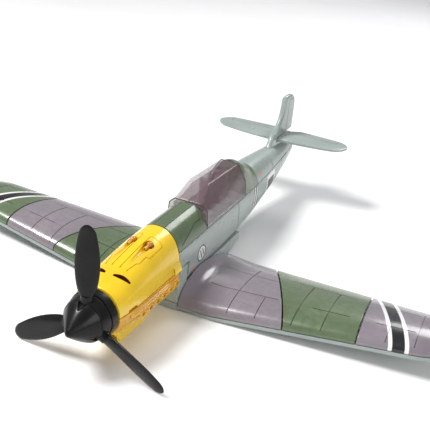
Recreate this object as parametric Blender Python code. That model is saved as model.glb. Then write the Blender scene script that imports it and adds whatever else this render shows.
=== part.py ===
"""Brick-built propeller plane model: a low-wing single-seat aeroplane that comes apart into moulded pieces.

Sizes below are millimetres and become metres as each mesh is made. The nose points along -Y, +X is the
plane's port side and +Z is up. Stations are counted aft from the front of the cowl, and the whole plane is
shifted forward by MIDDLE so that its length is centred on the origin. The belly is flat at z = 0.
"""
import math

import bmesh
import bpy
from mathutils import Matrix, Vector

MM = 0.001
MIDDLE = 83.5          # station that sits at y = 0
GAP = 0.3              # clearance between pieces that meet face to face
PITCH = 8.0            # distance between studs
STUD_RADIUS = 2.4
STUD_HEIGHT = 1.7
WING_STUD_HEIGHT = 1.4
TUBE_RADIUS = 3.0      # tubes that grip between four studs
WALL = 1.2
STUD_SIDES = 8
HULL_POINTS = 22
ROUNDNESS = 2.3        # exponent of the fuselage section, 2 is an ellipse

COWL_LENGTH = 40.0
HOOD_END = 64.0
CANOPY_END = 104.0
MAIN_END = 96.0
REAR_END = 120.0
SPINE_END = 144.0
BOOM_LOW_END = 152.0
BOOM_END = 160.0
TAIL_END = 184.0
SPINNER_TIP = -17.0

SHAFT_Z = 19.2
COWL_SPLIT_LOW = 12.3
COWL_SPLIT_HIGH = 18.9
ROOT_TOP = 9.6
DECK = 25.6
BOOM_SPLIT = 17.6
CANOPY_TOP = 41.4

PLATE = 1.6            # thickness of the lower wing plates
ROOT_PLATE = 3.2       # thicker part of the plates under the fuselage
BODY_HALF = 10.3       # half width of the wing root brick
WING_ROOT = 10.6       # where the wing skins begin
WING_TIP = 114.0
BEND = 24.0            # dihedral starts here
DIHEDRAL = 0.105       # rise per unit of span
PLATE_SPLIT = 66.0     # station between the front and rear wing plates
TIP_START = 100.0
SKIN_WALL = 1.2
SKIN_EDGE = 2.6        # height of the skin's edge above the belly
ROOT_HEIGHT = 9.0
TIP_HEIGHT = 6.2
DIAGONAL = (58.0, 28.5)    # cut between the inner and middle skins: span at stations 30 and 100
TIP_CUT = (80.0, 76.0)     # cut between the middle and tip skins
WHEEL_X = 36.0
WHEEL_Y = 54.5
WHEEL_RADIUS = 8.0
WHEEL_THICKNESS = 1.6

BLADE_REACH = 35.0     # propeller axis to blade tip
HUB_RADIUS = 8.6

# station, centre height, half width, rise above the centre, drop below it
FUSELAGE = (
    (0, 19.2, 9.2, 9.2, 9.2),
    (4, 19.2, 9.9, 10.4, 10.0),
    (12, 19.2, 10.4, 12.4, 11.6),
    (24, 18.6, 10.6, 15.0, 13.0),
    (40, 17.4, 10.6, 17.4, 13.0),
    (60, 16.6, 10.6, 18.6, 12.4),
    (96, 17.0, 10.4, 18.2, 11.2),
    (120, 18.4, 9.6, 16.2, 9.6),
    (146, 20.4, 7.6, 12.4, 7.6),
    (168, 22.4, 5.4, 8.8, 5.6),
    (184, 24.2, 3.2, 5.4, 3.6),
)


# ---------------------------------------------------------------- mesh tools

def add_object(name, bm):
    """Turn a bmesh in millimetres into an object in metres."""
    bmesh.ops.recalc_face_normals(bm, faces=bm.faces)
    bmesh.ops.transform(bm, matrix=Matrix.Scale(MM, 4) @ Matrix.Translation((0, -MIDDLE, 0)), verts=bm.verts)
    mesh = bpy.data.meshes.new(name)
    bm.to_mesh(mesh)
    bm.free()
    thing = bpy.data.objects.new(name, mesh)
    bpy.context.scene.collection.objects.link(thing)
    return thing


def loft(name, rings):
    """Closed solid through rings that all have the same number of points; its sides are triangles."""
    bm = bmesh.new()
    rows = [[bm.verts.new(point) for point in ring] for ring in rings]
    count = len(rings[0])
    for near, far in zip(rows, rows[1:]):
        for k in range(count):
            bm.faces.new((near[k], near[(k + 1) % count], far[(k + 1) % count], far[k]))
    bm.faces.new(rows[0])
    bm.faces.new(rows[-1][::-1])
    bmesh.ops.triangulate(bm, faces=[face for face in bm.faces if len(face.verts) == 4])
    return add_object(name, bm)


def prism(name, outline, low, high, axis="Z"):
    """Extrude an outline: (x, y) points along Z, or (y, z) points along X."""
    if axis == "Z":
        rings = [[(x, y, level) for x, y in outline] for level in (low, high)]
    else:
        rings = [[(level, y, z) for y, z in outline] for level in (low, high)]
    return loft(name, rings)


def box(name, x, y, z):
    return prism(name, [(x[0], y[0]), (x[1], y[0]), (x[1], y[1]), (x[0], y[1])], z[0], z[1])


def turned(name, profile, origin, axis="Y", sides=20):
    """Closed solid turned from (distance along the axis, radius) points; radius 0 makes a point."""
    bm = bmesh.new()
    rows = []
    for along, radius in profile:
        count = 1 if radius == 0 else sides
        row = []
        for k in range(count):
            turn = 2 * math.pi * (k + 0.5) / sides
            a, b = radius * math.cos(turn), radius * math.sin(turn)
            offset = (a, along, b) if axis == "Y" else (a, b, along)
            row.append(bm.verts.new([o + d for o, d in zip(origin, offset)]))
        rows.append(row)
    for near, far in zip(rows, rows[1:]):
        for k in range(sides):
            corners = [near[k % len(near)], near[(k + 1) % len(near)], far[(k + 1) % len(far)], far[k % len(far)]]
            unique = list(dict.fromkeys(corners))
            if len(unique) > 2:
                bm.faces.new(unique)
    for row in (rows[0], rows[-1]):
        if len(row) > 1:
            bm.faces.new(row)
    return add_object(name, bm)


def cylinder(name, x, y, radius, low, high, sides=STUD_SIDES):
    return turned(name, [(low, radius), (high, radius)], (x, y, 0), "Z", sides)


def rod(name, start, end, radius, sides=12):
    """Round bar between two points."""
    bm = bmesh.new()
    start, end = Vector(start), Vector(end)
    turn = (end - start).to_track_quat("Z", "Y").to_matrix().to_4x4()
    place = Matrix.Translation((start + end) / 2) @ turn
    bmesh.ops.create_cone(bm, cap_ends=True, segments=sides, radius1=radius, radius2=radius,
                          depth=(end - start).length, matrix=place)
    return add_object(name, bm)


def combine(body, other, operation):
    """Apply one EXACT Boolean and remove the second object."""
    step = body.modifiers.new("step", "BOOLEAN")
    step.operation = operation
    step.solver = "EXACT"
    step.object = other
    graph = bpy.context.evaluated_depsgraph_get()
    mesh = bpy.data.meshes.new_from_object(body.evaluated_get(graph))
    body.modifiers.clear()
    body.data = mesh
    bpy.data.objects.remove(other)
    return body


def join(body, *others):
    for other in others:
        combine(body, other, "UNION")
    return body


def cut(body, *others):
    for other in others:
        combine(body, other, "DIFFERENCE")
    return body


def studs(body, places, top, radius=STUD_RADIUS, height=STUD_HEIGHT):
    """Studs that stand on a flat top."""
    for x, y in places:
        join(body, cylinder("stud", x, y, radius, top - 0.4, top + height))
    return body


def hollow_studs(body, places, top):
    """Ring-shaped studs that stand on a flat top."""
    for x, y in places:
        join(body, cylinder("stud", x, y, STUD_RADIUS, top - 0.4, top + WING_STUD_HEIGHT))
        cut(body, cylinder("bore", x, y, 1.5, top + 0.1, top + STUD_HEIGHT + 1, 6))
    return body


def tubes(body, places, low, high, radius=TUBE_RADIUS):
    """Gripping tubes that hang inside a hollow piece; each has a blind bore from below."""
    for x, y in places:
        join(body, cylinder("tube", x, y, radius, low, high, 10))
        cut(body, cylinder("bore", x, y, radius - 1.0, low - 1, high - 1.6, 8))
    return body


def finish(body, name, material):
    """Name the object, give it its material, clean it and shade its round faces smooth."""
    body.name = name
    body.data.name = name
    body.data.materials.clear()
    body.data.materials.append(material)
    bm = bmesh.new()
    bm.from_mesh(body.data)
    bmesh.ops.remove_doubles(bm, verts=bm.verts, dist=0.004 * MM)
    bmesh.ops.dissolve_limit(bm, angle_limit=math.radians(0.05), verts=bm.verts, edges=bm.edges)
    bmesh.ops.triangulate(bm, faces=bm.faces)
    bmesh.ops.dissolve_degenerate(bm, dist=0.002 * MM, edges=bm.edges)
    bm.to_mesh(body.data)
    bm.free()
    body.data.shade_smooth()
    body.data.set_sharp_from_angle(angle=math.radians(35))
    return body


def set_origin(body, point):
    """Move the object's origin to a point of its joint axis, without moving the shape."""
    shift = Vector((point[0], point[1] - MIDDLE, point[2])) * MM
    body.data.transform(Matrix.Translation(-shift))
    body.location = shift
    return body


def plastic(name, colour, roughness=0.35):
    material = bpy.data.materials.new(name)
    material.use_nodes = True
    shader = material.node_tree.nodes["Principled BSDF"]
    shader.inputs["Base Color"].default_value = (*colour, 1)
    shader.inputs["Roughness"].default_value = roughness
    shader.inputs["Metallic"].default_value = 0
    return material


# ---------------------------------------------------------------- fuselage

def section(station):
    """Centre height, half width, rise and drop of the fuselage at a station, on a smooth curve."""
    rows = FUSELAGE
    index = 0
    while index < len(rows) - 2 and station > rows[index + 1][0]:
        index += 1
    near, far = rows[index], rows[index + 1]
    before = rows[max(index - 1, 0)]
    after = rows[min(index + 2, len(rows) - 1)]
    span = far[0] - near[0]
    t = (station - near[0]) / span
    values = []
    for k in range(1, 5):
        slope_near = (far[k] - before[k]) / (far[0] - before[0]) * span
        slope_far = (after[k] - near[k]) / (after[0] - near[0]) * span
        values.append((2 * t**3 - 3 * t**2 + 1) * near[k] + (t**3 - 2 * t**2 + t) * slope_near
                      + (3 * t**2 - 2 * t**3) * far[k] + (t**3 - t**2) * slope_far)
    return values


def power(value):
    return math.copysign(abs(value) ** (2 / ROUNDNESS), value)


def hull_ring(station, inset=0.0, raise_top=1.0):
    """Outline of the fuselage at a station; raise_top stretches what stands above the deck."""
    middle, half, rise, drop = section(station)
    ring = []
    for k in range(HULL_POINTS):
        turn = 2 * math.pi * (k + 0.5) / HULL_POINTS
        x = (half - inset) * power(math.cos(turn))
        up = power(math.sin(turn))
        z = middle + up * ((rise if up > 0 else drop) - inset)
        if z > DECK:
            z = DECK + (z - DECK) * raise_top
        ring.append((x, station, z))
    return ring


def stations(start, end, step=8.0):
    count = max(1, round((end - start) / step))
    return [start + (end - start) * k / count for k in range(count + 1)]


def hull(name, start, end, inset=0.0):
    return loft(name, [hull_ring(y, inset) for y in stations(start, end)])


def hull_top(station):
    middle, _, rise, _ = section(station)
    return middle + rise


def slab(low, high):
    """Endless horizontal layer that trims a fuselage piece between two levels."""
    return box("layer", (-60, 60), (-60, 240), (low, high))


def layer_of_hull(name, start, end, low, high, inset=0.0):
    return combine(hull(name, start, end, inset), slab(low, high), "INTERSECT")


def hollow_layer(name, start, end, low, high, ceiling, front=WALL, back=WALL):
    """Fuselage piece that is open below, with end walls; a wall of 0 leaves that end open."""
    body = layer_of_hull(name, start, end, low, high)
    inner_start = start + front if front else start - 1
    inner_end = end - back if back else end + 1
    cavity = layer_of_hull("cavity", max(inner_start, 0.5), inner_end, low - 5, ceiling, WALL)
    return cut(body, cavity)


def pair_row(first, count):
    """Two rows of studs, one pitch apart."""
    return [(x, first + PITCH * k) for k in range(count) for x in (-PITCH / 2, PITCH / 2)]


def single_row(first, count):
    return [(0.0, first + PITCH * k) for k in range(count)]


def main_fuselage_brick():
    body = hollow_layer("body", COWL_LENGTH, MAIN_END - GAP, ROOT_TOP + GAP, DECK, DECK - WALL)
    notch = box("notch", (-12, 12), (COWL_LENGTH - 1, COWL_LENGTH + 8), (5, COWL_SPLIT_HIGH + GAP))
    cut(body, notch)
    tubes(body, single_row(COWL_LENGTH + 16, 5), ROOT_TOP + 2 * GAP, DECK - 0.8)
    return studs(body, pair_row(COWL_LENGTH + 4, 7), DECK)


def wing_root_brick():
    low = ROOT_PLATE + GAP
    rear = MAIN_END + 4 - GAP
    outline = [(COWL_LENGTH, low), (88, low), (rear, 6.2), (rear, ROOT_TOP), (COWL_LENGTH, ROOT_TOP)]
    body = prism("body", outline, -BODY_HALF, BODY_HALF, "X")
    inside = BODY_HALF - WALL
    cut(body, box("cavity", (-inside, inside), (COWL_LENGTH + WALL, 86), (0, ROOT_TOP - WALL)))
    for side in (-1, 1):
        lug = box("lug", sorted((side * 1.0, side * 4.2)), (COWL_LENGTH - 4, COWL_LENGTH + 1), (8.0, 9.3))
        join(body, lug)
    tubes(body, [(0, 56), (0, 78)], low + GAP, ROOT_TOP - 0.8)
    return studs(body, pair_row(52, 6), ROOT_TOP)


def rear_fuselage_brick():
    body = hollow_layer("body", MAIN_END, REAR_END - GAP, ROOT_TOP + GAP, DECK, DECK - WALL)
    tubes(body, single_row(MAIN_END + 8, 1), ROOT_TOP + 2 * GAP, DECK - 0.8)
    studs(body, pair_row(MAIN_END + 4, 2), DECK)
    return studs(body, [(0, MAIN_END + 20)], DECK)


def boom_upper_brick():
    body = hollow_layer("body", REAR_END, BOOM_END - GAP, BOOM_SPLIT + GAP, DECK, DECK - WALL)
    return studs(body, single_row(REAR_END + 4, 5), DECK)


def boom_lower_brick():
    body = layer_of_hull("body", REAR_END, BOOM_LOW_END - GAP, 0, BOOM_SPLIT)
    studs(body, [(-PITCH / 2, REAR_END + 4), (PITCH / 2, REAR_END + 4)], BOOM_SPLIT)
    return studs(body, single_row(REAR_END + 12, 3), BOOM_SPLIT)


def spine_brick():
    """One stud wide bar that ties the boom to the fuselage under the spine."""
    half = 3.9
    low, high = DECK + GAP, DECK + 3.5
    start, end = REAR_END - PITCH + GAP, REAR_END + 2 * PITCH - GAP
    body = box("body", (-half, half), (start, end), (low, high))
    cut(body, box("cavity", (-half + 1.1, half - 1.1), (start + 1.2, end - 1.2), (low - 1, DECK + STUD_HEIGHT + GAP)))
    return studs(body, single_row(REAR_END + 4, 2), high)


def belly_fairing():
    body = layer_of_hull("body", MAIN_END + 4, REAR_END - GAP, 0, ROOT_TOP)
    places = [(x, y) for x in (-2.7, 2.7) for y in (MAIN_END + 12.5, MAIN_END + 16.6)]
    return studs(body, places, ROOT_TOP, 1.6)


# ---------------------------------------------------------------- nose

def shaft_channel():
    """Clearance for the propeller shaft and the flange at its inner end."""
    bore = rod("channel", (0, -2, SHAFT_Z), (0, 27, SHAFT_Z), 1.9)
    return join(bore, rod("flange room", (0, 25.6, SHAFT_Z), (0, 29.6, SHAFT_Z), 3.6))


def exhaust_cowl():
    """Middle layer of the cowl with the exhaust stubs; a tongue at the back holds it to the fuselage."""
    body = layer_of_hull("body", 0, COWL_LENGTH - GAP, COWL_SPLIT_LOW + GAP, COWL_SPLIT_HIGH)
    cut(body, layer_of_hull("cavity", WALL, 20, 0, 15.4, WALL))
    cut(body, layer_of_hull("cavity", 21.5, COWL_LENGTH - GAP - WALL, 0, 13.8, WALL))
    tongue = box("tongue", (-7, 7), (COWL_LENGTH - 1.5, COWL_LENGTH + 7.4), (COWL_SPLIT_LOW + GAP, COWL_SPLIT_HIGH))
    join(body, tongue)
    for side in (-1, 1):
        for k in range(6):
            y = 9 + 4.8 * k
            half = section(y)[1]
            stub = box("stub", sorted((side * (half - 2), side * (half + 0.9))), (y, y + 3), (15.0, 17.2))
            join(body, stub)
    cut(body, shaft_channel())
    return studs(body, [(-5, 16), (5, 16), (-5, 34), (5, 34), (-4, 44), (4, 44)], COWL_SPLIT_HIGH)


def upper_cowl():
    body = layer_of_hull("body", 0, COWL_LENGTH - GAP, COWL_SPLIT_HIGH + GAP, 60)
    cavity = loft("cavity", [hull_ring(y, 2.6) for y in stations(2.0, COWL_LENGTH - GAP - 1.8)])
    cut(body, cavity, shaft_channel())
    for side in (-1, 1):
        trough = rod("trough", (side * 3.4, 7, hull_top(7) + 0.6), (side * 3.4, 42, hull_top(42) + 0.6), 1.6)
        cut(body, trough)
    return body


def lower_cowl():
    """Chin of the cowl with the oil cooler scoop; posts carry studs up into the exhaust cowl."""
    body = layer_of_hull("body", 0, COWL_LENGTH - GAP, 0, COWL_SPLIT_LOW)
    scoop = prism("scoop", [(5, 8.9), (6.5, 3.4), (22, 3.2), (31, 6.5), (31, 8.9)], -5.6, 5.6, "X")
    join(body, scoop)
    cavity = layer_of_hull("cavity", WALL, COWL_LENGTH - GAP - WALL, 0, 20, WALL)
    keep = box("floor", (-20, 20), (-20, 60), (-1, 7.6))
    cut(cavity, keep)
    cut(body, cavity)
    cut(body, prism("mouth", [(0, 4.4), (16, 4.4), (16, 6.8), (0, 6.8)], -4.4, 4.4, "X"))
    cut(body, box("lug notch", (-4.6, 4.6), (COWL_LENGTH - 3, COWL_LENGTH + 1), (6.8, 20)))
    for x, y in ((-4, 12), (4, 12), (-4, 28), (4, 28)):
        top = 14.6 if y < 20 else 13.4
        join(body, cylinder("post", x, y, STUD_RADIUS, 7.0, top))
    return body


def spinner_cone():
    profile = [(SPINNER_TIP, 0)]
    for k in range(1, 8):
        t = k / 7
        profile.append((SPINNER_TIP + 8.7 * t, 0.4 + 7.4 * math.sin(t * math.pi / 2) ** 0.9))
    return turned("body", profile, (0, 0, SHAFT_Z))


def blade(turn):
    """Paddle blade with a twist, on a round root; turn is its angle about the propeller axis."""
    rings = []
    for k in range(9):
        t = k / 8
        reach = 6.0 + (BLADE_REACH - 6.0) * t
        chord = 2.0 + 3.4 * math.sin(math.pi * min(1.0, t * 1.05 + 0.08) ** 0.8)
        chord = max(chord, 1.4)
        thick = 1.5 * (1 - t) + 0.45
        pitch_angle = math.radians(50 - 32 * t)
        ring = []
        for j in range(8):
            a = 2 * math.pi * j / 8
            u, v = chord * math.cos(a), thick * math.sin(a)
            x = u * math.cos(pitch_angle) - v * math.sin(pitch_angle)
            y = u * math.sin(pitch_angle) * 0.55 + v * math.cos(pitch_angle)
            ring.append((x, y - 6.0, reach))
        rings.append([(x * math.cos(turn) + z * math.sin(turn), y, -x * math.sin(turn) + z * math.cos(turn) + SHAFT_Z)
                      for x, y, z in ring])
    return loft("blade", rings)


def propeller():
    body = turned("body", [(-8.0, 7.8), (-6.0, 8.3), (-4.0, HUB_RADIUS)], (0, 0, SHAFT_Z))
    for k in range(3):
        join(body, blade(2 * math.pi * k / 3))
    return cut(body, rod("bore", (0, -6.8, SHAFT_Z), (0, 0, SHAFT_Z), 1.8))


def spinner_backplate():
    body = turned("body", [(-3.7, HUB_RADIUS + 0.1), (-GAP - 0.1, 9.0)], (0, 0, SHAFT_Z))
    return cut(body, rod("bore", (0, -6, SHAFT_Z), (0, 2, SHAFT_Z), 1.8))


def propeller_shaft():
    body = rod("body", (0, -6.5, SHAFT_Z), (0, 26.5, SHAFT_Z), 1.5)
    return join(body, rod("flange", (0, 26, SHAFT_Z), (0, 29, SHAFT_Z), 3.2))


# ---------------------------------------------------------------- top covers

def forward_hood():
    body = hollow_layer("body", COWL_LENGTH, HOOD_END - GAP, DECK + GAP, 60, 60)
    return tubes(body, single_row(COWL_LENGTH + 8, 2), DECK + 2 * GAP, 33.6)


def canopy_ring(station, inset):
    """Angular section of the canopy: flat roof, leaning side panes and upright lower panes."""
    rise = min(1.0, (station - HOOD_END) / 9.0)
    roof = 35.0 + (CANOPY_TOP - 35.0) * rise - 0.03 * max(0, station - 74)
    roof_half = 6.6 - 2.2 * rise
    foot_half = 9.35
    low = DECK + GAP - (3.0 if inset else 0.0)
    points = [(foot_half, low), (foot_half - 0.5, 33.0), (roof_half, roof)]
    points = [(x - inset, z - (inset if z > 34 else 0)) for x, z in points]
    return [(x, station, z) for x, z in points] + [(-x, station, z) for x, z in reversed(points)]


def canopy():
    body = loft("body", [canopy_ring(y, 0) for y in (HOOD_END, HOOD_END + 9, CANOPY_END - GAP)])
    inner = [canopy_ring(y, SKIN_WALL) for y in (HOOD_END + 1.4, HOOD_END + 9.6, CANOPY_END + 2)]
    cut(body, loft("cavity", inner))
    return tubes(body, single_row(80, 3), DECK + 2 * GAP, CANOPY_TOP - 1.4)


def rear_hood():
    """Fairing behind the canopy that comes down to the spine; open where the spine brick passes."""
    def rings(inset, start, end):
        result = []
        for y in stations(start, end, 4):
            t = min(1.0, max(0.0, (y - CANOPY_END) / (REAR_END - CANOPY_END)))
            result.append(hull_ring(y, inset, 1.62 - 0.62 * t * t * (3 - 2 * t)))
        return result
    body = combine(loft("body", rings(0, CANOPY_END, REAR_END - GAP)), slab(DECK + GAP, 80), "INTERSECT")
    cavity = loft("cavity", rings(WALL, CANOPY_END + WALL, REAR_END + 1))
    return cut(body, cavity)


def spine_shell():
    return hollow_layer("body", REAR_END, SPINE_END - GAP, DECK + GAP, 60, 60, front=0)


def tail_cone_upper():
    """Upper tail cone and fin; a slot that opens aft takes the tailplane."""
    body = hull("body", SPINE_END, TAIL_END)
    outline = [(150, 28.5), (155, 36), (161, 46), (165, 52), (169, 55.4), (175, 56.4), (180, 54.5),
               (182.7, 50.5), (TAIL_END - 0.6, 44), (TAIL_END - 0.6, 27.1)]
    rings = []
    for x, shrink in ((-1.5, 0.9), (-0.9, 0.0), (0.9, 0.0), (1.5, 0.9)):
        ring = []
        for y, z in outline:
            inward = Vector((170 - y, 40 - z)).normalized() * shrink
            ring.append((x, y + inward.x, z + inward.y))
        rings.append(ring)
    join(body, loft("fin", rings))
    combine(body, slab(DECK + GAP, 80), "INTERSECT")
    cut(body, layer_of_hull("cavity", SPINE_END + WALL, TAIL_END - 14, DECK - 5, 60, WALL))
    return cut(body, box("slot", (-8, 8), (160.2, 190), (33.2, 35.8)))


def tailplane():
    """One-piece tailplane with rounded tips."""
    half_span = 36.0
    right = []
    for k in range(9):
        t = k / 8
        x = half_span * math.sin(t * math.pi / 2)
        lead = 160.6 + 5.5 * t * t + 4.5 * max(0.0, t - 0.75) * 4 * t
        right.append((x, lead))
    trail = []
    for k in range(8, -1, -1):
        t = k / 8
        x = half_span * math.sin(t * math.pi / 2)
        trail.append((x, 181.0 - 2.0 * t * t - 4.0 * max(0.0, t - 0.75) * 4 * t))
    side = right + trail[:]
    outline = side + [(-x, y) for x, y in reversed(side) if x > 0.01]
    body = prism("body", outline, 33.5, 35.5)
    return body


def tail_cone_lower():
    body = layer_of_hull("body", BOOM_LOW_END, TAIL_END, 0, DECK)
    return cut(body, box("step", (-20, 20), (BOOM_LOW_END - 5, BOOM_END), (BOOM_SPLIT, 40)))


# ---------------------------------------------------------------- wings

def leading(x):
    return COWL_LENGTH + 0.10 * max(0.0, x - 10)


def trailing(x):
    return 90.0 - 0.13 * max(0.0, x - 10)


def tip_factor(x):
    t = max(0.0, (x - TIP_START) / (WING_TIP - TIP_START))
    return math.sqrt(1 - 0.85 * t * t)


def edges(x, inset=0.0):
    """Leading and trailing stations of the wing at a span position, with the rounded tip."""
    middle = (leading(x) + trailing(x)) / 2
    half = (trailing(x) - leading(x)) / 2 * tip_factor(x) - inset
    return middle - half, middle + half


def camber(c):
    if c < 0.35:
        return math.sqrt(1 - ((0.35 - c) / 0.35) ** 2)
    return 1 - ((c - 0.35) / 0.65) ** 1.8


def skin_height(x):
    height = ROOT_HEIGHT + (TIP_HEIGHT - ROOT_HEIGHT) * (x - 10) / (WING_TIP - 10)
    fillet = 3.4 * max(0.0, 1 - (x - WING_ROOT) / 6.0) ** 2
    return (height + fillet) * (0.5 + 0.5 * tip_factor(x))


def wing_ring(x, inset, low):
    """Airfoil outline with a flat underside at one span position."""
    front, back = edges(x, inset)
    chords = (0, 0.04, 0.12, 0.25, 0.45, 0.65, 0.83, 1)
    ring = []
    for c in chords:
        top = SKIN_EDGE + (skin_height(x) - SKIN_EDGE) * camber(c) - inset
        ring.append((x, front + (back - front) * c, top))
    return ring + [(x, back, low), (x, front, low)]


def wing_solid(name, inset=0.0, low=PLATE + GAP):
    spans = (WING_ROOT, 12.5, 15, 24, 50, 80, 100, 106, 111, WING_TIP)
    spans = [min(x, WING_TIP - inset) for x in spans]
    return loft(name, [wing_ring(x, inset, low) for x in dict.fromkeys(spans)])


def bend_up(body):
    """Shear everything outboard of BEND upwards to give the dihedral."""
    bm = bmesh.new()
    bm.from_mesh(body.data)
    geometry = list(bm.verts) + list(bm.edges) + list(bm.faces)
    bmesh.ops.bisect_plane(bm, geom=geometry, plane_co=(BEND * MM, 0, 0), plane_no=(1, 0, 0), dist=1e-7)
    for vert in bm.verts:
        vert.co.z += max(0.0, vert.co.x - BEND * MM) * DIHEDRAL
    bm.to_mesh(body.data)
    bm.free()
    return body


def to_side(body, side):
    """Keep a port piece as it is, or mirror it to starboard."""
    if side > 0:
        return body
    bm = bmesh.new()
    bm.from_mesh(body.data)
    for vert in bm.verts:
        vert.co.x = -vert.co.x
    bmesh.ops.reverse_faces(bm, faces=bm.faces)
    bm.to_mesh(body.data)
    bm.free()
    return body


def plate_outline(start, front, back, end=WING_TIP):
    """Plan outline between two edges given as functions of span."""
    spans = [start, 24, 50, 80, 100, 106, 111, end]
    return [(x, front(x)) for x in spans] + [(x, back(x)) for x in reversed(spans)]


def near_wheel(x, y, reach):
    return math.hypot(x - WHEEL_X, y - WHEEL_Y) < WHEEL_RADIUS + reach


def near_cut(x, y):
    """True where a stud would stand under the walls on either side of a cut between wing skins."""
    for at_30, at_100 in (DIAGONAL, TIP_CUT):
        if abs(x - at_30 - (at_100 - at_30) * (y - 30) / 70) < STUD_RADIUS + SKIN_WALL + 4 * GAP:
            return True
    return False


def front_wing_plate(side):
    split = PLATE_SPLIT - GAP / 2
    body = prism("body", plate_outline(GAP / 2, lambda x: edges(x)[0], lambda x: min(split, edges(x)[1])), 0, PLATE)
    join(body, box("root", (GAP / 2, BODY_HALF - 0.1), (COWL_LENGTH, split), (0.2, ROOT_PLATE)))
    cut(body, box("well", (31, 41), (49.5, 60), (-1, 5)))
    places = []
    for row in (46.5, 54.5, 62.5):
        for k in range(11):
            x = 16 + PITCH * k
            blocked = near_wheel(x, row, STUD_RADIUS + 2 * GAP) or near_cut(x, row)
            if row - leading(x) > 4 and not blocked:
                places.append((x, row))
    studs(body, [(4, 52), (4, 60)], ROOT_PLATE)
    hollow_studs(body, places, PLATE)
    return to_side(bend_up(body), side)


def rear_wing_plate(side):
    split = PLATE_SPLIT + GAP / 2
    body = prism("body", plate_outline(GAP / 2, lambda x: max(split, edges(x)[0]), lambda x: edges(x)[1]), 0, PLATE)
    join(body, box("root", (GAP / 2, BODY_HALF - 0.1), (split, 88), (0.2, ROOT_PLATE)))
    studs(body, [(4, 74), (4, 82)], ROOT_PLATE)
    studs(body, [(16, 70), (24, 70), (16, 78), (24, 78)], PLATE, height=WING_STUD_HEIGHT)
    hollow_studs(body, [(x, 70) for x in range(32, 97, 8) if not near_cut(x, 70)], PLATE)
    return to_side(bend_up(body), side)


def wing_skin(side, inboard, outboard, tube_places):
    """Upper wing shell between two slanted cuts, each given as its span at stations 30 and 100."""
    def plan(name, trim, low, high):
        left = [value + trim for value in inboard]
        right = [value - trim for value in outboard]
        return prism(name, [(left[0], 30), (right[0], 30), (right[1], 100), (left[1], 100)], low, high)
    body = combine(wing_solid("body"), plan("cut", 0, -5, 40), "INTERSECT")
    cavity = combine(wing_solid("cavity", SKIN_WALL, -2), plan("cut", SKIN_WALL, -6, 41), "INTERSECT")
    cut(body, cavity)
    for x, y in tube_places:
        front, back = edges(x)
        top = SKIN_EDGE + (skin_height(x) - SKIN_EDGE) * camber((y - front) / (back - front))
        tubes(body, [(x, y)], PLATE + 2 * GAP, top - 0.7)
    return to_side(bend_up(body), side)


def inner_wing_skin(side):
    return wing_skin(side, (WING_ROOT, WING_ROOT), DIAGONAL, [(20, 50.5), (20, 58.5)])


def middle_wing_skin(side):
    inboard = [value + 2 * GAP for value in DIAGONAL]
    return wing_skin(side, inboard, TIP_CUT, [(52, 58.5), (60, 58.5), (68, 58.5)])


def tip_wing_skin(side):
    inboard = [value + 2 * GAP for value in TIP_CUT]
    return wing_skin(side, inboard, (120, 120), [(84, 58.5), (92, 58.5)])


def wheel(side):
    """Retracted wheel: tyre ring, thin disc and hub, lying on the wing plate over its well."""
    low, high = PLATE + GAP, PLATE + GAP + WHEEL_THICKNESS
    profile = [(low, 0), (low, WHEEL_RADIUS - 0.5), (low + 0.5, WHEEL_RADIUS), (high - 0.5, WHEEL_RADIUS),
               (high, WHEEL_RADIUS - 0.5), (high, 5.6), (high - 0.7, 5.2), (high - 0.7, 2.4), (high, 2.0), (high, 0)]
    body = turned("body", profile, (WHEEL_X, WHEEL_Y, 0), "Z", 18)
    return to_side(bend_up(body), side)


# ---------------------------------------------------------------- assembly

def build():
    grey = plastic("grey_plastic", (0.36, 0.40, 0.39))
    green = plastic("green_plastic", (0.10, 0.16, 0.11))
    violet = plastic("violet_grey_plastic", (0.26, 0.24, 0.27))
    yellow = plastic("yellow_plastic", (0.85, 0.52, 0.02))
    black = plastic("black_plastic", (0.012, 0.012, 0.013), 0.25)
    clear = plastic("tinted_clear_plastic", (0.45, 0.42, 0.47), 0.08)
    red = plastic("red_plastic", (0.55, 0.03, 0.02))

    static = (
        (main_fuselage_brick, "main_fuselage_brick", grey),
        (wing_root_brick, "wing_root_brick", grey),
        (rear_fuselage_brick, "rear_fuselage_brick", grey),
        (boom_upper_brick, "boom_upper_brick", grey),
        (boom_lower_brick, "boom_lower_brick", grey),
        (spine_brick, "spine_brick", grey),
        (exhaust_cowl, "exhaust_cowl", yellow),
        (upper_cowl, "upper_cowl", yellow),
        (lower_cowl, "lower_cowl", yellow),
        (forward_hood, "forward_hood", green),
        (canopy, "canopy", clear),
        (rear_hood, "rear_hood", green),
        (spine_shell, "spine_shell", grey),
        (belly_fairing, "belly_fairing", grey),
        (tail_cone_upper, "tail_cone_upper", grey),
        (tailplane, "tailplane", grey),
        (tail_cone_lower, "tail_cone_lower", grey),
    )
    for make, name, material in static:
        finish(make(), name, material)

    turning = (
        (spinner_cone, "spinner_cone", black),
        (propeller, "propeller", black),
        (spinner_backplate, "spinner_backplate", black),
        (propeller_shaft, "propeller_shaft", red),
    )
    for make, name, material in turning:
        set_origin(finish(make(), name, material), (0, 0, SHAFT_Z))

    for side, word, inner, middle in ((1, "port", violet, green), (-1, "starboard", green, violet)):
        finish(front_wing_plate(side), word + "_front_wing_plate", grey)
        finish(rear_wing_plate(side), word + "_rear_wing_plate", grey)
        finish(inner_wing_skin(side), word + "_inner_wing_skin", inner)
        finish(middle_wing_skin(side), word + "_middle_wing_skin", middle)
        finish(tip_wing_skin(side), word + "_tip_wing_skin", inner)
        set_origin(finish(wheel(side), word + "_wheel", black), (side * WHEEL_X, WHEEL_Y, PLATE))


for old in list(bpy.data.objects):
    bpy.data.objects.remove(old)
build()
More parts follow.
